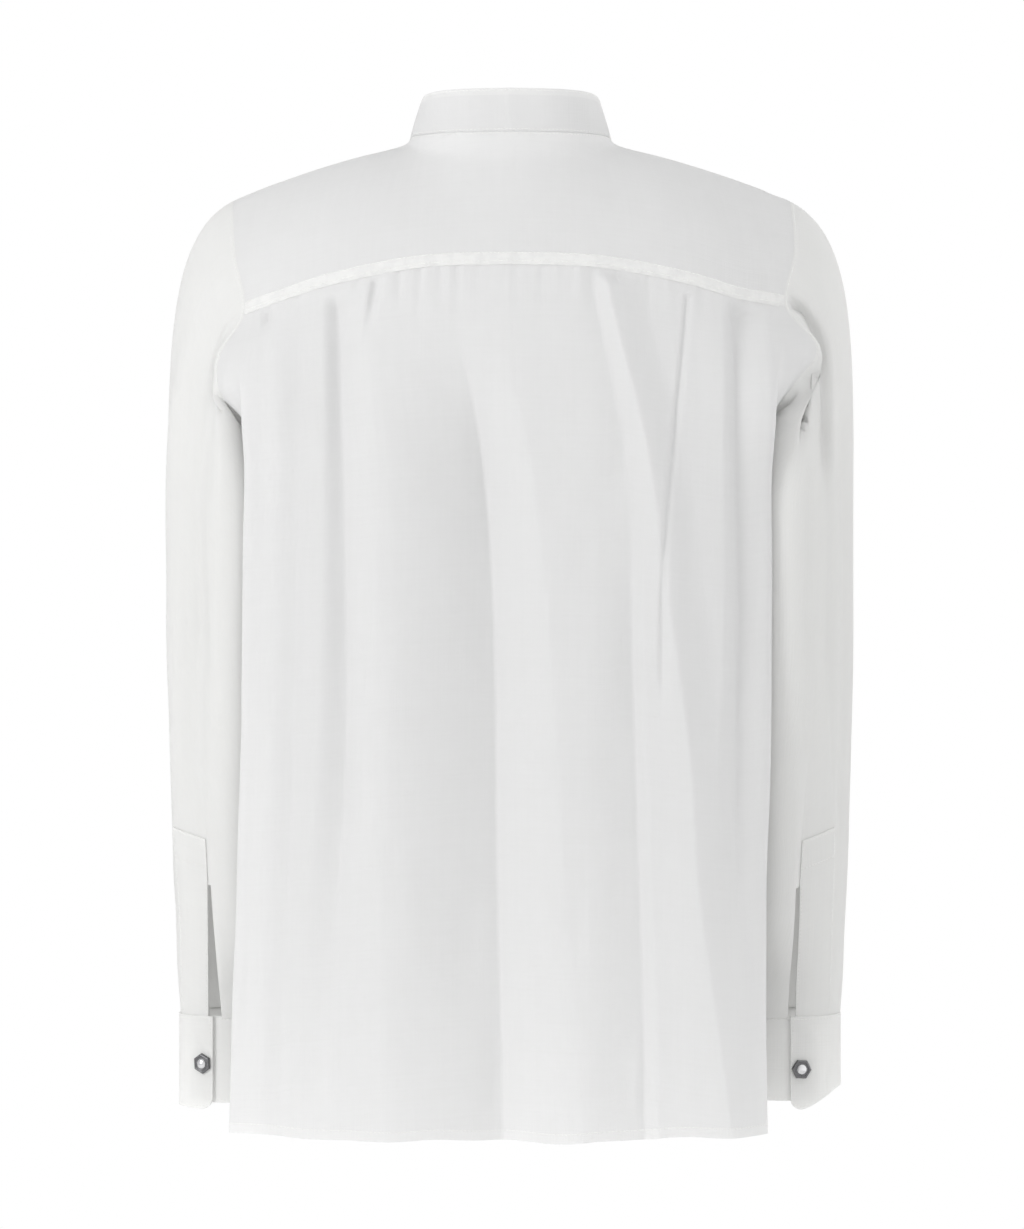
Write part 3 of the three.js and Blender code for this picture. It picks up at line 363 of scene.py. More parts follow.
def cloth_finish(name, band=None, white=CLOTH_WHITE, weave=1.0, uneven=0.0):
    """Thin plain-woven cloth: fine threads both ways, a few thicker ones, and lighter where it lies double. band
    is where it does, as (which distance, from, to) in millimetres."""
    made, shader, start = new_finish(name, "UVMap", {"uv_map": "cloth"})
    place = Wire(start.outputs[0])
    parts = place.node("SeparateXYZ", (), {0: place})
    across, down = parts, Wire(parts.socket.node.outputs[1])

    def threads(thick, long, seed):
        spot = across.node("CombineXYZ", (), {0: across * (1000 / thick), 1: down * (1000 / long), 2: seed})
        return spot.node("TexNoise", {"noise_dimensions": "3D"}, {"Vector": spot, "Scale": 1.0, "Detail": 2.0})

    warp, weft = threads(0.7, 30, 1.0), threads(30, 0.7, 5.0)
    slub_warp, slub_weft = threads(2.6, 160, 9.0), threads(130, 2.2, 13.0)
    cloudy = threads(26, 34, 21.0)
    grain = (warp + weft - 1.0) * (0.055 * weave) + (slub_warp + slub_weft - 1.0) * (0.07 * weave)
    tone = grain + (cloudy - 0.5) * 0.03 + 0.5
    base = tone.node("MapRange", {}, {0: tone, 1: 0.0, 2: 1.0})
    low = tuple(c * 0.86 for c in white) + (1,)
    high = tuple(min(1, c * 1.14) for c in white) + (1,)
    colour = base.node("Mix", {"data_type": "RGBA"}, {0: base, 6: low, 7: high}, 2)
    if band:
        edge = Wire(made.node_tree.nodes.new("ShaderNodeUVMap").outputs[0])
        edge.socket.node.uv_map = "edges"
        distances = edge.node("SeparateXYZ", (), {0: edge})
        mask = None
        for which, near, far, strength in band:
            distance = Wire(distances.socket.node.outputs[which])
            inside = (distance * 1000).between(near - 0.35, near + 0.35)
            part = inside * (1 - (distance * 1000).between(far - 0.5, far + 0.5)) * strength
            mask = part if mask is None else mask.math("MAXIMUM", part)
        if uneven:
            patches = threads(7, 9, 31.0)
            mask = mask * (1 - patches.between(0.42, 0.62) * uneven)
        colour = mask.node("Mix", {"data_type": "RGBA"}, {0: mask, 6: colour, 7: (*LAYER_WHITE, 1)}, 2)
    height = warp + weft + slub_warp + slub_weft
    relief = grain.node("Bump", (), {"Strength": 0.35, "Distance": 0.00025, "Height": height})
    links = made.node_tree.links
    links.new(colour.socket, shader.inputs["Base Color"])
    links.new(relief.socket, shader.inputs["Normal"])
    shader.inputs["Roughness"].default_value = 0.9
    shader.inputs["Specular IOR Level"].default_value = 0.25
    shader.inputs["Sheen Weight"].default_value = 0.12
    shader.inputs["Sheen Roughness"].default_value = 0.5
    through = colour.node("BsdfTranslucent", (), {"Color": colour, "Normal": relief})
    nodes = made.node_tree.nodes
    both = nodes.new("ShaderNodeMixShader")
    both.inputs[0].default_value = SHEER
    links.new(shader.outputs[0], both.inputs[1])
    links.new(through.socket, both.inputs[2])
    links.new(both.outputs[0], nodes["Material Output"].inputs["Surface"])
    return made


def settle(piece, node, material):
    """The piece stands for its solid, on the shirt's one body."""
    piece.data.materials.append(material)
    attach(piece, "root")
    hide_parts(node)
    return piece


def relaxed(grid, top, low, passes):
    """The grid with its columns smoothed between two heights, but for its sides."""
    heights = grid[:, :, 2]
    beside = np.minimum(np.arange(grid.shape[1]), np.arange(grid.shape[1])[::-1])
    weight = 0.5 * (ease((top - heights) / 20) * ease((heights - low) / 20) * ease(beside / 14))[1:-1, :, None]
    grid = grid.copy()
    for _ in range(passes):
        grid[1:-1] += weight * ((grid[2:] + grid[:-2]) / 2 - grid[1:-1])
    return grid


yoke_grid = both_halves(yoke_half)
yoke_run, yoke_fall = lengths_from(yoke_grid, 1), lengths_from(yoke_grid, 0)
yoke_inside = np.minimum(yoke_run, yoke_run[:, -1:] - yoke_run)
yoke_inside = np.minimum(yoke_inside, np.minimum(yoke_fall, yoke_fall[-1:] - yoke_fall))
for _ in range(260):
    evened = (yoke_grid[:, 2:] + yoke_grid[:, :-2]) / 2 - yoke_grid[:, 1:-1]
    yoke_grid[:, 1:-1] += 0.5 * ease(yoke_inside / 26)[:, 1:-1, None] * evened
seam_way = yoke_grid[0] - yoke_grid[1]
lap_row = yoke_grid[0] + SEAM_LAP * seam_way / np.linalg.norm(seam_way, axis=1, keepdims=True)
yoke_grid = np.concatenate([lap_row[None], yoke_grid])
yoke_down = lengths_from(yoke_grid, 0)
yoke_place = yoke_grid[:, :, 0]
pucker_wave = np.sin(yoke_place / 2.9) * 0.5 + np.sin(yoke_place / 1.7 + 1.3) * 0.35 + np.sin(yoke_place / 4.7 + 0.4)
yoke_lift = pucker_wave * 0.22 * ease(1 - yoke_down / 24) + 0.45 * (1 - ease((yoke_down - 7) / 2.5))
yoke_lift += loose_creases(11, 40, yoke_place, yoke_grid[:, :, 2], (20, 60), (0.15, 0.5), (7, 16))
yoke_edge = np.minimum(lengths_from(yoke_grid, 1), lengths_from(yoke_grid[:, ::-1], 1)[:, ::-1])
yoke_far = yoke_down[-1:] - yoke_down
yoke_lift *= ease(yoke_edge / 6) * ease(yoke_far / 6)
yoke_grid = yoke_grid - facings(yoke_grid) * yoke_lift[:, :, None]

yoke_finish = cloth_finish("yoke_cloth", [(0, -1, 8.6, 0.7), (1, -1, 7, 0.1)], uneven=0.5)
yoke = cloth_piece("yoke_cloth", yoke_grid, CLOTH_WALL)
settle(yoke, "yoke", yoke_finish)
clothing = {"yoke": (yoke, yoke_grid, -1)}

# ---- back
# The back is one wide panel, gathered and pleated into the yoke seam, and it hangs free from there in long
# soft folds. Its sides turn in under the arms to the side seams, and its hem is turned up narrow and stitched.

BODY_PLAN = {
    "z": (-222, -234, -252, -310, -430, -520, -690),
    "left": (181, 181, 182, 183, 185, 187, 193),
    "right": (179, 179, 179, 179, 178, 175, 176),
    "back": (93, 93, 94, 95, 96, 97, 98),
    "edge": (65, 66, 67, 68, 68, 68, 68),
    "side": (149, 144, 141, 140, 139, 139, 141),
    "front_x": (166, 167, 168, 170, 171, 171, 172),
    "corner": (-80, -81, -82, -84, -84, -83, -82),
    "front": (-108, -109, -110, -111, -108, -106, -105),
}
HEM = {"back": -691, "edge": -687, "side": -677, "front": -682}
UNDERARM_Z = -222
LOWER_ROWS = [-222, -230, -242, -262, -305, -360, -420, -485, -550, -615, -677]
LOWER_SPLITS = [2, 3, 5, 10, 12, 14, 15, 15, 15, 14]
BACK_RISES = [0, 0.05, 0.12, 0.22, 0.35, 0.5, 0.66, 0.83, 1]
SIDE_LEFT, CENTRE_FRONT, SIDE_RIGHT, CENTRE_BACK = 7, 14, 21, 28


def body_plan(z):
    """The body's outline at a height, from the centre back round by the left side."""
    read = {key: float(smooth_read(BODY_PLAN["z"], values, z)) for key, values in BODY_PLAN.items() if key != "z"}

    def half(reach):
        back, edge, side = read["back"], read["edge"], read["side"]
        front_x, corner, front = read["front_x"], read["corner"], read["front"]
        return [
            (0.33 * reach, back - 1), (0.64 * reach, back - 6), (0.88 * reach, back - 15), (reach, edge),
            (reach - 17, edge - 19), (side + 9, 22), (side, 0), (side + 6, -34), (front_x - 13, corner + 20),
            (front_x, corner), (0.88 * front_x, front + 9), (0.6 * front_x, front + 2), (0.3 * front_x, front),
        ]

    left = [(x, y, z) for x, y in half(read["left"])]
    right = [(-x, y, z) for x, y in half(read["right"])]
    return [(0, read["back"], z), *left, (0, read["front"], z), *right[::-1]]


def rows_between(values, splits):
    parts = [np.linspace(a, b, n + 1)[:-1] for a, b, n in zip(values, values[1:], splits)]
    return np.concatenate([*parts, values[-1:]])


BACK_TIMES, FLAP_TIMES = 5, 2
back_seam_shares = column_shares(SEAM_MIDDLE, BACK_TIMES, FLAP_TIMES)
back_plan_shares = column_shares(PLAN_MIDDLE, BACK_TIMES, FLAP_TIMES)
back_rises = split(BACK_RISES, 6)
lower_rows = rows_between(LOWER_ROWS, LOWER_SPLITS)


def back_half(side):
    way = np.array([SIDES[side], 1, 1])
    ends = (0, SIDE_LEFT) if side == "left" else (CENTRE_BACK, SIDE_RIGHT)
    level = lambda z: along(body_plan(z), back_plan_shares, *ends, closed=True) * way
    seam, underarm = along(YOKE_SEAM[side], back_seam_shares), level(UNDERARM_Z)
    drop = (seam - underarm)[:, 2:]
    rise, lead = drop * (0, 0.05, -0.33), drop * (0, 0, 0.33)
    upper = np.stack([arch(seam, rise, lead, underarm, share) for share in back_rises])
    edge = armhole(side, ARMHOLE_YOKE_BACK, 0, back_rises)
    cell = np.interp(back_plan_shares, column_shares(PLAN_MIDDLE, 1, 1), np.arange(BACK_CELLS + FLAP_CELLS + 1))
    pull = follow(cell / (BACK_CELLS + FLAP_CELLS), 0.4)
    upper = upper + (edge - upper[:, -1])[:, None] * pull[None, :, None]
    flap = np.clip((back_plan_shares - PLAN_MIDDLE) / (1 - PLAN_MIDDLE), 0, 1)
    hem = HEM["back"] + (HEM["edge"] - HEM["back"]) * ease(back_plan_shares / PLAN_MIDDLE)
    hem = hem + (HEM["side"] - HEM["edge"]) * flap
    lower = np.stack([level(z) for z in lower_rows[1:]])
    share = (lower_rows[1:] - UNDERARM_Z) / (HEM["side"] - UNDERARM_Z)
    lower[:, :, 2] = UNDERARM_Z + (hem - UNDERARM_Z)[None, :] * share[:, None]
    return np.concatenate([upper, lower])


BACK_FOLDS = [
    fold([(120, -112), (117, -160), (115, -230), (113, -323), (113, -425), (118, -527), (122, -640)],
         (9, 26), (22, 34), -5.5, 12, 230, 0.5),
    fold([(45, -115), (36, -145), (20, -221), (12, -323), (10, -425), (9, -527), (6, -629), (5, -700)],
         (60, 84), (28, 56), -20, 130, 1, 0.8),
    fold([(-62, -97), (-72, -140), (-92, -221), (-106, -323),
          (-120, -425), (-127, -527), (-141, -629), (-150, -700)], (8, 46), (26, 32), 8.5, 14, 1, 0.7),
    fold([(-80, -250), (-84, -400), (-88, -527), (-91, -629), (-92, -700)],
         (28, 40), (8, 10), -5, 120, 1, 0.8),
    fold([(-120, -112), (-117, -150), (-111, -208), (-103.5, -277), (-101.5, -360), (-103, -400)],
         2.5, 5, -2, 5, 40, 0.9),
    fold([(-153, -114), (-155, -221), (-157, -323), (-156, -425), (-154, -600)],
         (9, 18), 24, -7, 14, 220, 0.6),
    fold([(158, -122), (160, -300), (166, -500), (172, -700)], 14, 16, 2, 60, 1),
    fold([(92, -102), (94, -116), (100, -150)], 4, 7, -2.6, 4, 34),
    fold([(168, -118), (167, -140)], 4, 5, -2, 5, 14),
]
GATHERS = {
    "x": (176, 158, 146, 104, 84, 76, 71, 62, 57, 48, 41, 36, 22, 9, -4, -22, -31, -47, -56, -72, -84,
          -94, -108, -131, -146, -160, -176),
    "depth": (-1.1, 1.1, -1.2, -1.2, 1.2, -1.9, 0.8, -2.0, 1.1, -1.6, 0.7, -1.7, -1.2, 0.8, -1.3, -1.4,
              0.9, 1.1, -1.6, -1.5, 1.2, -1.4, 1.3, -1.5, 1.2, -1.3, 1.0),
    "run": (34, 40, 36, 30, 26, 40, 22, 58, 30, 44, 26, 66, 34, 30, 52, 40, 26, 38, 46, 44, 24, 52, 36,
            40, 24, 44, 34),
    "reach": (5, 6, 5, 5, 5, 4, 3.4, 4.6, 3.4, 4, 3.4, 5, 5, 4.4, 6, 5, 4, 4.5, 5, 4, 4.5, 4, 4.5, 5,
              4.5, 5, 5),
}

back_grid = relaxed(both_halves(back_half), -175, -275, 80)
back_across, back_z = back_grid[:, :, 0], back_grid[:, :, 2]
back_below = back_z[:1] - back_z
back_lift = fold_height(BACK_FOLDS, back_across, back_z)
gather_lift = np.zeros_like(back_lift)
for x, depth, run, reach in zip(*GATHERS.values()):
    spread = reach * (1 + 0.6 * np.clip(back_below / run, 0, 1))
    beside = np.clip(np.abs(back_across - x) / spread, 0, 1)
    gather_lift += depth * ease(1 - back_below / run) * 0.5 * (1 + np.cos(np.pi * beside))
back_lift = back_lift * ease(back_below / 7) + 0.5 * gather_lift * ease(back_below / 2.6 + 0.12)
back_lift += loose_creases(3, 60, back_across, back_z, (50, 190), (0.2, 0.9), (8, 22)) * ease(back_below / 40)
back_from_side = np.minimum(np.arange(back_grid.shape[1]), np.arange(back_grid.shape[1])[::-1])
back_lift *= ease(back_from_side / 11)[None, :]
hem_wave = np.sin(back_across[-1] / 23) * 0.9 + np.sin(back_across[-1] / 9.1 + 2) * 0.5
back_grid = back_grid + facings(back_grid) * back_lift[:, :, None]
back_grid[:, :, 2] += hem_wave[None, :] * ease((UNDERARM_Z - 300 - back_z) / 160)

back_finish = cloth_finish("back_cloth", [(1, -1, 7, 0.15)])
back = cloth_piece("back_cloth", back_grid, CLOTH_WALL)
settle(back, "back", back_finish)
clothing["back"] = (back, back_grid, 1)

# ---- fronts
# The two fronts are plain panels from the forward shoulder seams down. Each has its buttoning edge folded back
# into a band and stitched, and the right one laps over the left one.

FRONT_RISES = [0, 0.12, 0.25, 0.38, 0.51, 0.64, 0.76, 0.88, 1]
FRONT_NECK_CELLS, FRONT_SHOULDER_CELLS = 6, 10
FRONT_TIMES = 5
FRONT_ARCH = {"neck": 0.2, "shoulder": 0.26, "edge": 0.16, "ease_cells": 5, "down": 0.3, "up": 0.4}
FRONT_LAP = {"width": 14, "from": 30, "ease": 14, "step": 2.2}
FRONT_BAND = 28
FRONT_FOLDS = [
    fold([(88, -40), (92, -200), (96, -420), (104, -700)], 26, 22, -6, 70, 1),
    fold([(126, -60), (128, -200), (134, -420), (138, -700)], 20, 20, 6, 60, 1),
    fold([(52, -90), (50, -260), (54, -460), (58, -700)], 24, 20, 4, 90, 1),
]
front_rises = split(FRONT_RISES, 6)


def front_half(side):
    """A front in the left's form, from the centre out."""
    cells = FRONT_NECK_CELLS + FRONT_SHOULDER_CELLS
    neck = along(NECK_SEAM, np.linspace(0, 1, FRONT_NECK_CELLS * FRONT_TIMES + 1), 7, NECK_SHOULDER)
    top = np.vstack([neck, shoulder(np.linspace(0, 1, FRONT_SHOULDER_CELLS * FRONT_TIMES + 1))[1:]])
    share = np.linspace(0, 1, cells * FRONT_TIMES + 1)
    level = lambda z: along(body_plan(z), share, CENTRE_FRONT, SIDE_LEFT, closed=True)
    underarm = level(UNDERARM_Z)
    drop = (top - underarm)[:, 2:]
    beyond_neck = share * cells - FRONT_NECK_CELLS
    outwards = ease(beyond_neck / FRONT_ARCH["ease_cells"])
    out = FRONT_ARCH["shoulder"] + (FRONT_ARCH["edge"] - FRONT_ARCH["shoulder"]) * outwards
    out = FRONT_ARCH["neck"] + (out - FRONT_ARCH["neck"]) * ease(beyond_neck + 1)
    rise = np.concatenate([0 * drop, -out[:, None] * drop, -FRONT_ARCH["down"] * drop], axis=1)
    lead = drop * (0, 0, FRONT_ARCH["up"])
    upper = np.stack([arch(top, rise, lead, underarm, row) for row in front_rises])
    edge = armhole(side, ARMHOLE_YOKE_FRONT, ARMHOLE_END, front_rises)
    upper = upper + (edge - upper[:, -1])[:, None] * follow(share, 0.4)[None, :, None]
    lower = np.stack([level(z) for z in lower_rows[1:]])
    hem = HEM["front"] + (HEM["side"] - HEM["front"]) * ease(share)
    down = (lower_rows[1:] - UNDERARM_Z) / (HEM["side"] - UNDERARM_Z)
    lower[:, :, 2] = UNDERARM_Z + (hem - UNDERARM_Z)[None, :] * down[:, None]
    grid = np.concatenate([upper, lower])
    lift = fold_height(FRONT_FOLDS, grid[:, :, 0], grid[:, :, 2])
    lift += loose_creases(5 + SIDES[side], 26, grid[:, :, 0], grid[:, :, 2], (60, 180), (0.3, 1.1), (8, 22))
    fade = ease((1 - share) * cells / 5)[None, :] * ease((top[:, 2][None, :] - grid[:, :, 2]) / 20)
    fade = fade * ease((grid[:, :, 0] - FRONT_BAND + 10) / 16)
    return grid - facings(grid) * (lift * fade)[:, :, None]


def front_grid(side):
    """A front with its edge carried past the centre, and the under one set back behind the other."""
    grid = front_half(side)
    laps = np.linspace(FRONT_LAP["width"], 0, 8)[:-1]
    beyond = grid[:, :1] + (grid[:, 2:3] - grid[:, :1]) * (laps / grid[:, 2:3, 0])[:, :, None]
    grid = np.concatenate([beyond * MIRROR, grid], axis=1)
    if side == "left":
        grid[:, :, 1] += FRONT_LAP["step"] * ease((FRONT_LAP["from"] - grid[:, :, 0]) / FRONT_LAP["ease"])
    band = ease((FRONT_BAND - 14 - grid[:, :, 0]) / 0.8)
    return grid - facings(grid) * (0.35 * band)[:, :, None]


for side in SIDES:
    grid = front_grid(side)
    from_edge = lambda across, down: (across - across[:, :1], down[-1:] - down)
    finish = cloth_finish(f"front_cloth_{side}", [(0, -1, FRONT_BAND, 0.5), (1, -1, 7, 0.15)])
    if side == "right":
        grid = grid * MIRROR
    front = cloth_piece(f"front_cloth_{side}", grid, CLOTH_WALL, edges=from_edge)
    settle(front, f"front_{side}", finish)
    clothing[f"front_{side}"] = (front, grid, -SIDES[side])

# ---- collar band
# The stand collar is a band of two layers with a stiffener between them, sewn round the neck edge and stitched
# close to its own edges. Its right end laps over the left one at the front, where a button closes it.

BAND_WALL, BAND_ROUND = 1.3, 0.35
COLLAR = {
    "share": (0, 0.25, 0.36, 0.47, 0.6, 1),
    "inset": (4.5, 5, 6.5, 8, 7, 2),
    "height": (30.5, 30, 28.5, 25.5, 26, 29),
}
COLLAR_LIFT, COLLAR_LAYER = 0.2, 1.2
COLLAR_LAP = {"width": 11, "share": 0.22, "ease": 0.12}
NECK_MIDDLE_Y = -4
COLLAR_CELLS = 100


def collar_grid():
    """The collar from its covered end at the centre front, round by the left and the back, to its upper end."""
    halfway = along(NECK_SEAM, np.linspace(0, 1, COLLAR_CELLS + 1), 0, 7)
    lap = COLLAR_LAP["width"] / halfway[-2, 0] / COLLAR_CELLS
    station = np.concatenate([np.linspace(1 + lap, 1, 7)[:-1], np.linspace(1, 0, COLLAR_CELLS + 1)])
    station = np.concatenate([station, -station[::-1][1:]])
    share, side = 1 - np.abs(1 - np.abs(station)), np.where(station > 0, 1, -1)
    side = np.where(np.abs(station) > 1, -side, side)
    cells = np.arange(COLLAR_CELLS + 1)
    place = np.stack([np.interp(share * COLLAR_CELLS, cells, halfway[:, k]) for k in range(3)], axis=1)
    base = place * np.stack([side, 1 + 0 * side, 1 + 0 * side], axis=1)
    layer = np.sign(-station) * ease((np.abs(station) - 1 + COLLAR_LAP["share"]) / COLLAR_LAP["ease"])
    outward = np.stack([base[:, 0], base[:, 1] - NECK_MIDDLE_Y, 0 * layer], axis=1)
    outward /= np.linalg.norm(outward, axis=1, keepdims=True)
    inset = smooth_read(COLLAR["share"], COLLAR["inset"], share)
    height = smooth_read(COLLAR["share"], COLLAR["height"], share)
    ups = np.concatenate([[0, 0.03], np.linspace(0.08, 0.92, 12), [0.97, 1]])
    rows = []
    for up in ups:
        rise = COLLAR_LIFT + (height - COLLAR_LIFT) * up
        out = layer * COLLAR_LAYER - inset * up**1.3
        rows.append(base + outward * out[:, None] + rise[:, None] * (0, 0, 1))
    return np.stack(rows)


def soften(piece, width, segments, degrees):
    """Edges sharper than an angle are rounded."""
    edge = piece.modifiers.new("edge", "BEVEL")
    edge.width, edge.segments = width * MM, segments
    edge.limit_method, edge.angle_limit = "ANGLE", math.radians(degrees)


collar_points = collar_grid()
collar_z = collar_points[:, :, 2]
collar_lift = loose_creases(17, 30, lengths_from(collar_points, 1), collar_z, (15, 40), (0.1, 0.3), (8, 20))
collar_points = collar_points + facings(collar_points) * (collar_lift * 0.6)[:, :, None]
collar_finish = cloth_finish("collar_cloth", [(1, -1, 5, 0.2)], white=(0.77, 0.77, 0.77), weave=0.9)
collar = cloth_piece("collar_cloth", collar_points, BAND_WALL)
soften(collar, BAND_ROUND, 2, 50)
settle(collar, "collar_band", collar_finish)
clothing["collar"] = (collar, collar_points, 1)

# ---- sleeves
# Each sleeve is one long piece, sewn into the armhole and closed by a seam down its inner side. It hangs
# straight from a dropped shoulder, and above the cuff it is slit open at the back.

SLEEVE = {
    "z": (-270, -300, -360, -430, -487, -520, -552, -584, -614),
    "outer": (240.5, 240.5, 240.5, 239, 237.5, 236.2, 235, 234, 232.3),
    "inner": (153, 152, 151, 151, 151, 151, 151, 151, 152),
    "middle": (-12, -12, -12, -13, -16, -18, -20, -22, -24),
    "half": (60, 60, 58, 54, 50, 48, 45, 41, 36),
}
SLEEVE_RISES = [0, 0.07, 0.16, 0.27, 0.4, 0.56, 0.76, 1]
SHOULDER_HANDLE, HANG_HANDLE, UNDERARM_HANDLE = 0.24, 0.5, 15
SHOULDER_TOP_SHARE, YOKE_CELLS = 0.62, 7
UNDERARM_WAY = np.array([0.45, 0, 0.9])
SLIT = {"left": {"x": 206, "top": 3, "low": 9}, "right": {"x": 196, "top": 3, "low": 5}}
SLIT_TOP, STRIP_WIDTH, WRIST_RADIUS = -520, 29, 42
SLEEVE_TIMES = 6
SLEEVE_LAP, CUFF_OVER = 1.6, 1.3
SLEEVE_FOLDS = {
    "left": [
        fold([(72, -150), (66, -260), (60, -380), (56, -480)], 22, 22, -4, 80, 120),
        fold([(34, -120), (30, -240), (34, -400), (40, -560)], 22, 22, 4, 80, 120),
        fold([(108, -165), (106, -240), (106, -460), (108, -600)], 36, 48, 13, 40, 60),
        fold([(250, -160), (262, -300), (272, -450), (284, -590)], 26, 26, -6, 90, 90),
    ],
    "right": [
        fold([(68, -84), (54, -125), (51, -150), (56, -200), (66, -260)], 15, 9, -7, 22, 60),
        fold([(84, -180), (80, -300), (78, -400), (76, -490)], 24, 24, 3, 80, 80),
        fold([(108, -165), (106, -240), (106, -460), (108, -600)], 36, 48, 18, 40, 60),
        fold([(34, -140), (30, -300), (28, -440), (30, -560)], 20, 20, -5, 80, 100),
        fold([(252, -160), (264, -300), (272, -450), (284, -590)], 26, 26, -6, 90, 90),
    ],
}


def edge_way(grid):
    way = grid[:, -1] - grid[:, -2]
    return way / np.linalg.norm(way, axis=1, keepdims=True)


def around(values, times):
    """A closed row of values, with each stretch cut into equal parts."""
    return split(np.concatenate([values, values[:1] - 2 * np.pi]), times)[:-1]


def sleeve_points(side):
    """A sleeve in the left's form: rows from the armhole down, columns from the underarm by the back."""
    times = SLEEVE_TIMES
    back_edge = armhole(side, 0, ARMHOLE_YOKE_BACK, 1 - split(BACK_RISES, times)[::-1])
    yoke_edge = armhole(side, ARMHOLE_YOKE_BACK, ARMHOLE_YOKE_FRONT, np.linspace(0, 1, YOKE_CELLS * times + 1))
    front_edge = armhole(side, ARMHOLE_YOKE_FRONT, ARMHOLE_END, split(FRONT_RISES, times))
    loop = np.concatenate([back_edge[:-1], yoke_edge[:-1], front_edge[:-1]])
    back_ways = edge_way(back_half(side)[: len(back_rises)])[::-1]
    yoke_ways = edge_way(yoke_half(side))
    front_ways = edge_way(front_half(side)[: len(front_rises)])

    def spaced(ways, shares, wanted):
        return np.stack([np.interp(wanted, shares, ways[:, k]) for k in range(3)], axis=1)

    ways = np.concatenate([
        spaced(back_ways, 1 - back_rises[::-1], 1 - split(BACK_RISES, times)[::-1])[:-1],
        spaced(yoke_ways, yoke_rows, np.linspace(0, 1, YOKE_CELLS * times + 1))[:-1],
        spaced(front_ways, front_rises, split(FRONT_RISES, times))[:-1],
    ])
    count = len(loop)
    near = np.minimum(np.arange(count), count - np.arange(count)) / times
    ways = ways + (UNDERARM_WAY - ways) * (1 - np.clip(near, 0, 1))[:, None]
    coarse = loop[::times]
    stretch = np.linalg.norm(np.roll(coarse, -1, axis=0) - coarse, axis=1)
    top = len(BACK_RISES) - 1 + round(YOKE_CELLS * SHOULDER_TOP_SHARE)
    run = np.concatenate([[0], np.cumsum(stretch)])
    column = np.arange(len(coarse))
    by_back, by_front = 1 - run[:-1] / run[top], -(run[:-1] - run[top]) / (run[-1] - run[top])
    angles = np.pi * np.where(column <= top, by_back, by_front)
    open_slit = SLIT[side]
    low_half = (SLEEVE["outer"][-1] - SLEEVE["inner"][-1]) / 2
    slit_angle = math.acos((open_slit["x"] - SLEEVE["inner"][-1] - low_half) / low_half)
    slit_column = int(np.argmax(angles < slit_angle)) - 1
    strip = STRIP_WIDTH / 2 / WRIST_RADIUS

    def ring(z):
        read = lambda key: float(smooth_read(SLEEVE["z"], SLEEVE[key], z))
        outer, inner, middle, half = (read(key) for key in ("outer", "inner", "middle", "half"))
        share = ease((SLEEVE["z"][2] - z) / (SLEEVE["z"][2] - SLIT_TOP))
        down = np.clip((SLIT_TOP - z) / (SLIT_TOP - SLEEVE["z"][-1]), 0, 1)
        width = (open_slit["top"] + (open_slit["low"] - open_slit["top"]) * down) / half
        goal = angles.copy()
        sides = width * np.array([0.5, -0.5, -0.5, -0.5])
        goal[slit_column : slit_column + 4] = slit_angle + sides - strip * np.array([0, 0, 1, 2])
        bent = around(angles + (goal - angles) * share, times)
        half_x = (outer - inner) / 2
        return np.stack([inner + half_x * (1 + np.cos(bent)), middle + half * np.sin(bent), z + 0 * bent], axis=1)

    first = ring(SLEEVE["z"][0])
    seam_way = np.roll(loop, -1, axis=0) - np.roll(loop, 1, axis=0)
    seam_way /= np.linalg.norm(seam_way, axis=1, keepdims=True)
    lead = ways - seam_way * np.sum(ways * seam_way, axis=1, keepdims=True)
    lead /= np.linalg.norm(lead, axis=1, keepdims=True)
    reach = np.linalg.norm(first - loop, axis=1, keepdims=True)
    under = 0.5 * (1 - np.cos(around(angles, times)))[:, None]
    handle = SHOULDER_HANDLE * reach * (1 - under) + UNDERARM_HANDLE * under
    start = loop + lead * (0.15 + 0.35 * under**4)
    rises = np.concatenate([np.linspace(0, 0.07, 9), split(SLEEVE_RISES[1:], 7)[1:]])
    upper = np.stack([arch(start, lead * handle, reach * (0, 0, HANG_HANDLE), first, rise) for rise in rises])
    to_slit, beside_slit = np.linspace(SLEEVE["z"][0], SLIT_TOP, 56), np.linspace(SLIT_TOP, SLEEVE["z"][-1], 22)
    levels = np.concatenate([to_slit[1:], beside_slit[1:]])
    grid = np.concatenate([upper, np.stack([ring(z) for z in levels])])
    degrees = np.degrees(around(angles, times)) % 360
    z = grid[:, :, 2]
    turn = np.broadcast_to(degrees[None, :], z.shape)
    lift = fold_height(SLEEVE_FOLDS[side], turn, z)
    lift += loose_creases(21 + SIDES[side], 46, turn, z, (50, 150), (0.3, 1.2), (7, 20))
    row = np.arange(len(grid))
    fade = ease(row / 16) * ease((len(grid) - 1 - row) / 8)
    grid = grid + facings(grid, closed=True) * (lift * fade[:, None])[:, :, None]
    first_slit_row = len(upper) + int(np.argmax(levels <= SLIT_TOP + 1e-6))
    under_seam = grid[0] - grid[1]
    under_seam = grid[0] + under_seam / np.linalg.norm(under_seam, axis=1, keepdims=True) * SLEEVE_LAP
    grid = np.concatenate([(under_seam - facings(grid, closed=True)[0] * 0.4)[None], grid])
    return grid, slit_column, first_slit_row + 1


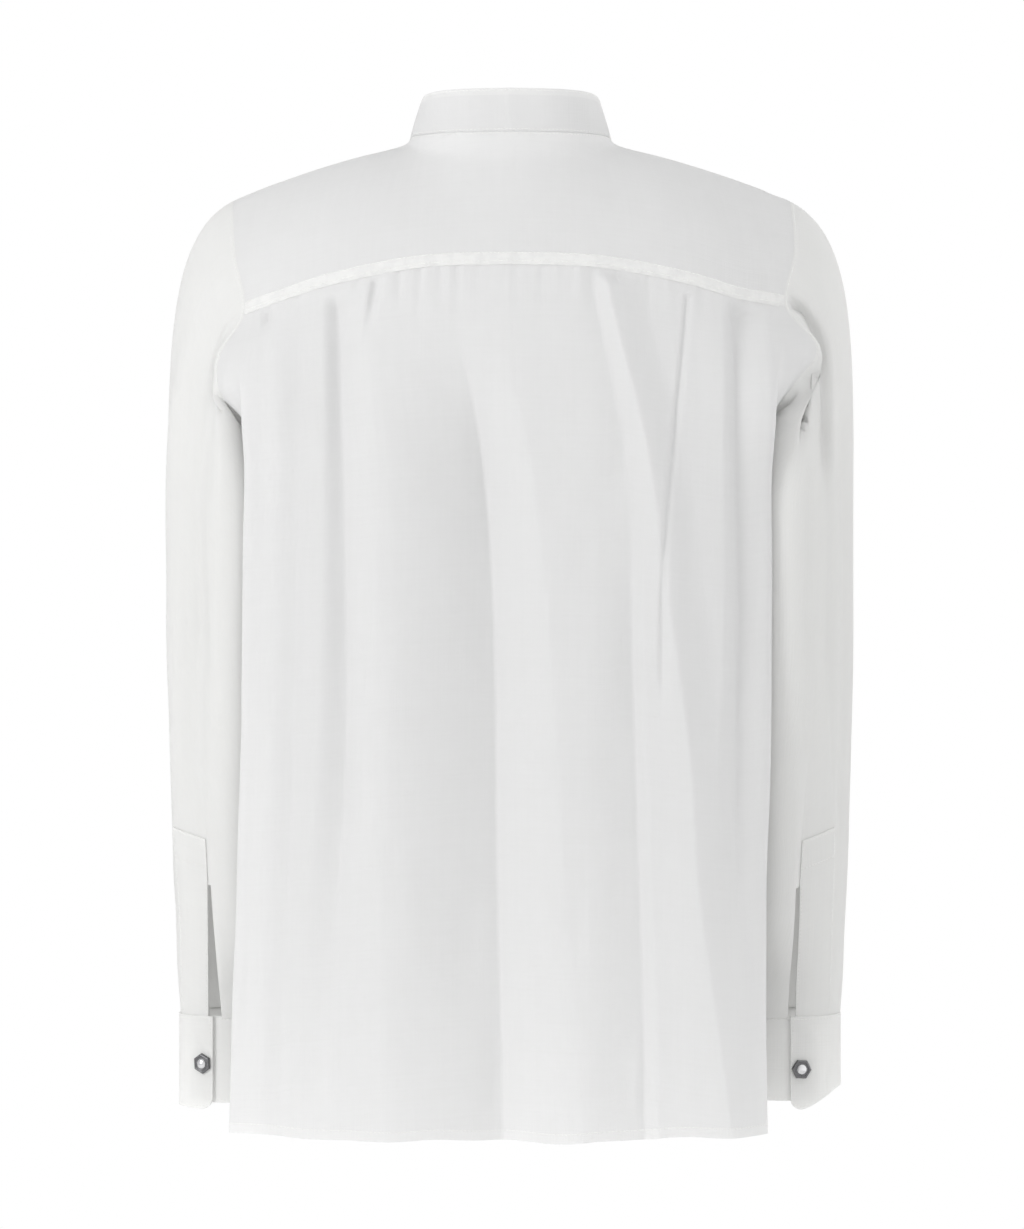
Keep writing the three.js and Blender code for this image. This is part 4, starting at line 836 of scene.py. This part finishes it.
sleeves = {}
for side in SIDES:
    grid, slit_column, slit_row = sleeve_points(side)
    sleeves[side] = (grid, slit_column, slit_row)
    slit_cells = range(slit_column * SLEEVE_TIMES, (slit_column + 1) * SLEEVE_TIMES)
    in_slit = lambda row, column: row >= slit_row and column in slit_cells
    # The sleeve's white is a little lighter and warmer than the body's though the cloth is the same: painted light,
    # its warm tint standing in for light bounced between the layers.
    finish = cloth_finish(f"sleeve_cloth_{side}", [(0, -1, 5, 0.12)], white=(0.83, 0.83, 0.823))
    placed = grid if side == "left" else grid * MIRROR
    sleeve = cloth_piece(f"sleeve_cloth_{side}", placed, CLOTH_WALL, closed=True, dropped=in_slit)
    settle(sleeve, f"sleeve_{side}", finish)
    clothing[f"sleeve_{side}"] = (sleeve, placed, SIDES[side])

# ---- sleeve plackets
# A folded strip covers the outer edge of each slit and runs on above it, with its upper end cut on a slant. It
# is stitched all round, and across above the slit.

STRIP_WALL = 0.8
STRIP_TOP, STRIP_SLANT = -487, 8

for side in SIDES:
    grid, slit_column, slit_row = sleeves[side]
    first_row = int(np.argmax(grid[:, 0, 2] <= STRIP_TOP))
    columns = np.arange((slit_column + 1) * SLEEVE_TIMES, (slit_column + 3) * SLEEVE_TIMES + 1)
    out = CLOTH_WALL / 2 + STRIP_WALL / 2 + 0.1
    lifted = (grid + facings(grid, closed=True) * out)[:, columns]
    strip = lifted[first_row:].copy()
    slant = STRIP_SLANT * np.linspace(0, 1, len(columns))
    rise = np.interp(strip[:, 0, 2], [strip[3, 0, 2], strip[0, 0, 2]], [0, 1])
    for j in range(len(columns)):
        moved = strip[:, j, 2] + slant[j] * rise
        for axis in (0, 1):
            strip[:, j, axis] = np.interp(-moved, -lifted[:, j, 2], lifted[:, j, axis])
    strip[:, :, 2] += slant[None, :] * rise[:, None]
    # The slight warm tint of this white is painted bounce light, as on the sleeves.
    finish = cloth_finish(f"placket_cloth_{side}", [(0, -1, 2, 0.15)], white=(0.84, 0.84, 0.833))
    strip = strip if side == "left" else strip * MIRROR
    piece = cloth_piece(f"placket_{side}", strip, STRIP_WALL)
    settle(piece, f"sleeve_placket_{side}", finish)
    clothing[f"placket_{side}"] = (piece, strip, SIDES[side])

# ---- cuffs
# Each cuff is a doubled band round the wrist, stiffened and edge-stitched. Its flap laps over its other end
# and is buttoned there, with its lower corner rounded.

CUFF = {"overlap": 19, "cells": 104, "flap_x": {"left": 207, "right": 195}, "corner": 9}
CUFF_LAYER, CUFF_LAP = 1.3, {"share": 0.22, "ease": 0.1}
CUFF_EDGE = {
    "left": ((0, 0.3, 0.7, 1), (-673, -674, -677, -678)),
    "right": ((0, 0.3, 0.6, 0.84, 0.96, 1), (-672, -671, -666, -664, -677, -679)),
}
CUFF_FOLDS = {
    "left": [
        fold([(-27, -616), (-16, -624), (-7, -632)], 5, 7, -0.9, 3, 7),
        fold([(-30, -650), (-26, -674)], 5, 5, 0.6, 8, 8),
    ],
    "right": [
        fold([(-5, -617), (-15, -626), (-27, -634)], 6, 5, -0.9, 3, 8),
        fold([(-34, -640), (-30, -668)], 6, 5, 0.6, 9, 9),
    ],
}


def cuff_points(side):
    """A cuff in the left's form, from its covered end round by the front to the flap."""
    top, outer, inner, middle, half_y = (SLEEVE[key][-1] for key in ("z", "outer", "inner", "middle", "half"))
    half_x = (outer - inner) / 2
    flap = math.acos((CUFF["flap_x"][side] - inner - half_x) / half_x)
    start = flap - CUFF["overlap"] / half_x
    turn = np.linspace(0, 1, CUFF["cells"] + 1)
    turn = np.concatenate([turn[:-1], [0.993, 0.997, 1]])
    angle = start + (flap + 2 * math.pi - start) * turn
    layer = ease((turn - 1 + CUFF_LAP["share"]) / CUFF_LAP["ease"])
    layer = layer - ease((CUFF_LAP["share"] - turn) / CUFF_LAP["ease"])
    low = smooth_read(*CUFF_EDGE[side], turn)
    from_edge = (1 - turn) * (2 * math.pi * half_x + CUFF["overlap"])
    corner = np.maximum(0, CUFF["corner"] - from_edge)
    cut = CUFF["corner"] - np.sqrt(CUFF["corner"] ** 2 - corner**2)
    downs = np.concatenate([[0, 0.03], np.linspace(0.08, 0.92, 14), [0.97, 1]])
    x = inner + half_x + (half_x + layer * CUFF_LAYER) * np.cos(angle)
    y = middle + (half_y + layer * CUFF_LAYER) * np.sin(angle)
    top = top + CUFF_OVER
    return np.stack([np.stack([x, y, top + (low + cut - top) * down], axis=1) for down in downs])


for side in SIDES:
    grid = cuff_points(side)
    away = lengths_from(grid, 1)
    cuff_lift = loose_creases(33 + SIDES[side], 22, away, grid[:, :, 2], (15, 45), (0.15, 0.5), (6, 16))
    cuff_lift = cuff_lift + fold_height(CUFF_FOLDS[side], away - away[:, -1:], grid[:, :, 2])
    grid = grid + facings(grid) * cuff_lift[:, :, None]
    grid = grid if side == "left" else grid * MIRROR
    # The slight warm tint of this white is painted bounce light, as on the sleeves.
    finish = cloth_finish(f"cuff_cloth_{side}", [(1, -1, 3, 0.15)], weave=0.9, white=(0.84, 0.84, 0.833))
    cuff = cloth_piece(f"cuff_{side}_band", grid, BAND_WALL)
    soften(cuff, BAND_ROUND, 2, 50)
    settle(cuff, f"cuff_{side}", finish)
    clothing[f"cuff_{side}"] = (cuff, grid, -SIDES[side])

# ---- buttons
# The buttons are cast metal: a six-sided rim with bevelled edges round a sunk ring, and a bright dome in the
# middle that hides the shank. They are sewn on through it.

BUTTON = {
    "rim": 7.2, "wall": 1.5, "steps": ((0.8, 0.7), (0.9, 0.0), (0.5, -0.7)),
    "dome": 3.7, "dome_rise": 1.8, "dome_seat": 1.6,
}
FRONT_BUTTONS = {"top": -96, "pitch": 84, "count": 7}
CUFF_BUTTONS = {"left": (214.5, -646), "right": (202.5, -649.5)}
CUFF_BUTTON_TURN = {"left": 4, "right": 26}


def metal_finish(name, colour, roughness, worn):
    made, shader, start = new_finish(name, "TexCoord")
    place = Wire(start.outputs["Object"])
    spots = place.node("TexNoise", (), {"Vector": place, "Scale": 900.0, "Detail": 3.0})
    scratches = place.node("TexNoise", (), {"Vector": place, "Scale": 2600.0, "Detail": 2.0})
    dark = tuple(c * (1 - worn) for c in colour) + (1,)
    tint = spots.node("Mix", {"data_type": "RGBA"}, {0: spots, 6: dark, 7: (*colour, 1)}, 2)
    rough = (scratches - 0.5) * 0.16 + roughness
    links = made.node_tree.links
    links.new(tint.socket, shader.inputs["Base Color"])
    links.new(rough.socket, shader.inputs["Roughness"])
    shader.inputs["Metallic"].default_value = 1.0
    return made


rim_metal = metal_finish("dark_metal", (0.16, 0.16, 0.165), 0.28, 0.25)
dome_metal = metal_finish("bright_metal", (0.62, 0.62, 0.63), 0.2, 0.15)


def button_place(point, facing, seat, turned=0):
    """Where a button's back lies, and how it is turned: it faces as its cloth does, with a corner up at 0."""
    facing = Vector(facing).normalized()
    beside = Vector((0, 0, 1)).cross(facing).normalized()
    turn = Matrix((beside, facing.cross(beside), facing)).transposed().to_4x4()
    turn = turn @ Matrix.Rotation(math.radians(turned), 4, "Z")
    return Matrix.Translation((Vector(point) + facing * seat) * MM) @ turn


def make_button(node, place):
    bm = bmesh.new()
    rim = BUTTON["rim"] * MM
    bmesh.ops.create_cone(
        bm, cap_ends=True, segments=6, radius1=rim, radius2=rim, depth=BUTTON["wall"] * MM,
        matrix=Matrix.Translation((0, 0, BUTTON["wall"] / 2 * MM)),
    )
    top = max((f for f in bm.faces), key=lambda f: f.calc_center_median().z)
    for inset, rise in BUTTON["steps"]:
        bmesh.ops.inset_region(bm, faces=[top], thickness=inset * MM, depth=rise * MM)
    dome = bmesh.ops.create_uvsphere(bm, u_segments=32, v_segments=16, radius=BUTTON["dome"] * MM)
    high = BUTTON["dome_rise"] / BUTTON["dome"]
    seat = Matrix.Translation((0, 0, BUTTON["dome_seat"] * MM)) @ Matrix.Diagonal((1, 1, high, 1))
    bmesh.ops.transform(bm, matrix=seat, verts=dome["verts"])
    for face in {f for v in dome["verts"] for f in v.link_faces}:
        face.material_index, face.smooth = 1, True
    bmesh.ops.transform(bm, matrix=place, verts=bm.verts)
    button = made_piece(node + "_metal", bm)
    soften(button, 0.22, 3, 25)
    settle(button, node, rim_metal)
    button.data.materials.append(dome_metal)


placket_edge = front_half("right")[:, 0]
for i in range(FRONT_BUTTONS["count"]):
    z = FRONT_BUTTONS["top"] - i * FRONT_BUTTONS["pitch"]
    k = int(np.argmax(placket_edge[:, 2] < z))
    above, below = placket_edge[k - 1], placket_edge[k]
    point = above + (below - above) * (above[2] - z) / (above[2] - below[2])
    place = button_place(point, np.cross(below - above, (1, 0, 0)), 0.75)
    make_button(f"button_{i + 1}", place)
column = collar_points[:, 6 + 2 * COLLAR_CELLS]
facing = np.cross(column[-1] - column[0], (1, 0, 0))
facing = -facing if facing[1] > 0 else facing
make_button("collar_button", button_place(column[len(column) // 2], facing, BAND_WALL / 2 + 0.1))
for side, towards in SIDES.items():
    outer, inner, middle, half_y = (SLEEVE[key][-1] for key in ("outer", "inner", "middle", "half"))
    half_x, half_y = (outer - inner) / 2 + CUFF_LAYER, half_y + CUFF_LAYER
    x, z = CUFF_BUTTONS[side]
    angle = math.acos((x - (outer + inner) / 2) / half_x)
    facing = (towards * math.cos(angle) / half_x, math.sin(angle) / half_y, 0)
    point = (towards * x, middle + half_y * math.sin(angle), z)
    place = button_place(point, facing, BAND_WALL / 2 + 0.1, CUFF_BUTTON_TURN[side])
    make_button(f"cuff_button_{side}", place)

# ---- stitching
# The seams and hems are topstitched in white thread, in short even stitches that sink a little into the cloth:
# along the yoke seam, round the collar and the cuffs, down the plackets and the front edges, and along the hem.

THREAD = {"length": 1.9, "pitch": 2.7, "radius": 0.17}


def line_in(grid, wall, outward, distance, axis=0, end=False):
    """A line on the cloth's outer face, at a distance from its first or last row or column."""
    faces = facings(grid) * outward
    if axis:
        grid, faces = grid.transpose(1, 0, 2), faces.transpose(1, 0, 2)
    if end:
        grid, faces = grid[::-1], faces[::-1]
    run = lengths_from(grid, 0)

    def at(values):
        columns = range(grid.shape[1])
        return np.array([[np.interp(distance, run[:, j], values[:, j, k]) for k in range(3)] for j in columns])

    return at(grid) + at(faces) * (wall / 2 + THREAD["radius"] * 0.4)


def stitch(name, lines):
    bm = bmesh.new()
    for line in lines:
        run = np.concatenate([[0], np.cumsum(np.linalg.norm(np.diff(line, axis=0), axis=1))])
        at = lambda s: Vector([np.interp(s, run, line[:, k]) for k in range(3)]) * MM
        for start in np.arange(0.4, run[-1] - THREAD["length"], THREAD["pitch"]):
            a, b = at(start), at(start + THREAD["length"])
            turn = (b - a).to_track_quat("Z", "Y").to_matrix().to_4x4()
            radius = THREAD["radius"] * MM
            bmesh.ops.create_cone(
                bm, cap_ends=True, segments=6, radius1=radius, radius2=radius, depth=(b - a).length,
                matrix=Matrix.Translation((a + b) / 2) @ turn,
            )
    for face in bm.faces:
        face.smooth = len(face.verts) == 4
    piece = made_piece(name, bm)
    piece.data.materials.append(thread_finish)
    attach(piece, "root")
    return piece


def make_thread_finish():
    made, shader, start = new_finish("white_thread", "TexCoord")
    place = Wire(start.outputs["Object"])
    twist = place.node("TexNoise", (), {"Vector": place, "Scale": 3000.0, "Detail": 2.0})
    tint = twist.node("Mix", {"data_type": "RGBA"}, {0: twist, 6: (0.74, 0.74, 0.72, 1), 7: (0.9, 0.9, 0.89, 1)}, 2)
    relief = twist.node("Bump", (), {"Strength": 0.4, "Distance": 0.0001, "Height": twist})
    made.node_tree.links.new(tint.socket, shader.inputs["Base Color"])
    made.node_tree.links.new(relief.socket, shader.inputs["Normal"])
    shader.inputs["Roughness"].default_value = 0.6
    return made


thread_finish = make_thread_finish()
STITCH_LINES = {
    "yoke": [(0, False, 2.6), (0, False, 8.6), (0, True, 1.4)],
    "back": [(0, True, 6.5)],
    "front": [(0, True, 6.5), (1, False, 1.5), (1, False, FRONT_BAND)],
    "collar": [(0, False, 1.5), (0, True, 1.5)],
    "sleeve": [(0, False, 3.2)],
    "placket": [(1, False, 1.2), (1, True, 1.2), (0, False, 1.4), (0, False, 20)],
    "cuff": [(0, False, 2.2), (0, True, 2), (1, True, 2)],
}
WALLS = {"collar": BAND_WALL, "cuff": BAND_WALL, "placket": STRIP_WALL}
for name, (_, grid, outward) in clothing.items():
    kind = name.split("_")[0]
    wall = WALLS.get(kind, CLOTH_WALL)
    lines = [line_in(grid, wall, outward, distance, axis, end) for axis, end, distance in STITCH_LINES[kind]]
    stitch(f"stitches_{name}", lines)

# The cloth pieces were cut flat: each size is that of its cut, in metres and square metres, without the seam
# allowances that don't show. The back is cut wider at the top than its seam, and is gathered into it.

# ---- floor, light and camera
# A plain pale floor well below the shirt, a soft light from one side and above, and the photograph's view of
# the back.

bm = bmesh.new()
bmesh.ops.create_circle(bm, cap_ends=True, segments=96, radius=2.2)
bmesh.ops.translate(bm, verts=bm.verts, vec=(0, 0, -1.35))
floor = made_piece("floor", bm)
floor_finish, shader, start = new_finish("pale_floor", "TexCoord")
place = Wire(start.outputs["Object"])
speck = place.node("TexNoise", (), {"Vector": place, "Scale": 60.0, "Detail": 2.0})
pale = speck.node("Mix", {"data_type": "RGBA"}, {0: speck, 6: (0.86, 0.86, 0.855, 1), 7: (0.9, 0.9, 0.895, 1)}, 2)
floor_finish.node_tree.links.new(pale.socket, shader.inputs["Base Color"])
shader.inputs["Roughness"].default_value = 0.9
floor.data.materials.append(floor_finish)

world = bpy.data.worlds.new("soft_light")
world.use_nodes = True
bpy.context.scene.world = world
nodes, links = world.node_tree.nodes, world.node_tree.links
background = nodes["Background"]
background.inputs["Color"].default_value = (1, 1, 1, 1)
way = Wire(nodes.new("ShaderNodeTexCoord").outputs["Generated"])
parts = way.node("SeparateXYZ", (), {0: way})
from_left, above = parts, Wire(parts.socket.node.outputs[2])
glow = 1.55 - from_left.between(-1.0, 1.0) * 0.54 - above.between(-1.0, 1.0) * 0.2
ray = Wire(nodes.new("ShaderNodeLightPath").outputs["Is Camera Ray"])
strength = glow * (1 - ray) + ray
links.new(strength.socket, background.inputs["Strength"])

key = bpy.data.lights.new("key", "AREA")
key.shape, key.size, key.size_y, key.energy = "RECTANGLE", 0.9, 1.3, 36
key_light = bpy.data.objects.new("key", key)
key_light.matrix_world = (
    Matrix.Translation((2.2, 1.6, 0.0)) @ (Vector((2.2, 1.6, 0.35)).to_track_quat("Z", "Y").to_matrix().to_4x4())
)
bpy.context.scene.collection.objects.link(key_light)

camera = bpy.data.cameras.new("camera")
camera.lens, camera.sensor_width, camera.sensor_fit = 125.5, 36, "AUTO"
camera.clip_end = 20
view = bpy.data.objects.new("camera", camera)
view.location = (-0.00105, 3.0, -0.3325)
view.rotation_euler = (math.radians(90), 0, math.radians(180))
bpy.context.scene.collection.objects.link(view)
bpy.context.scene.camera = view
bpy.context.scene.view_settings.view_transform = "Standard"
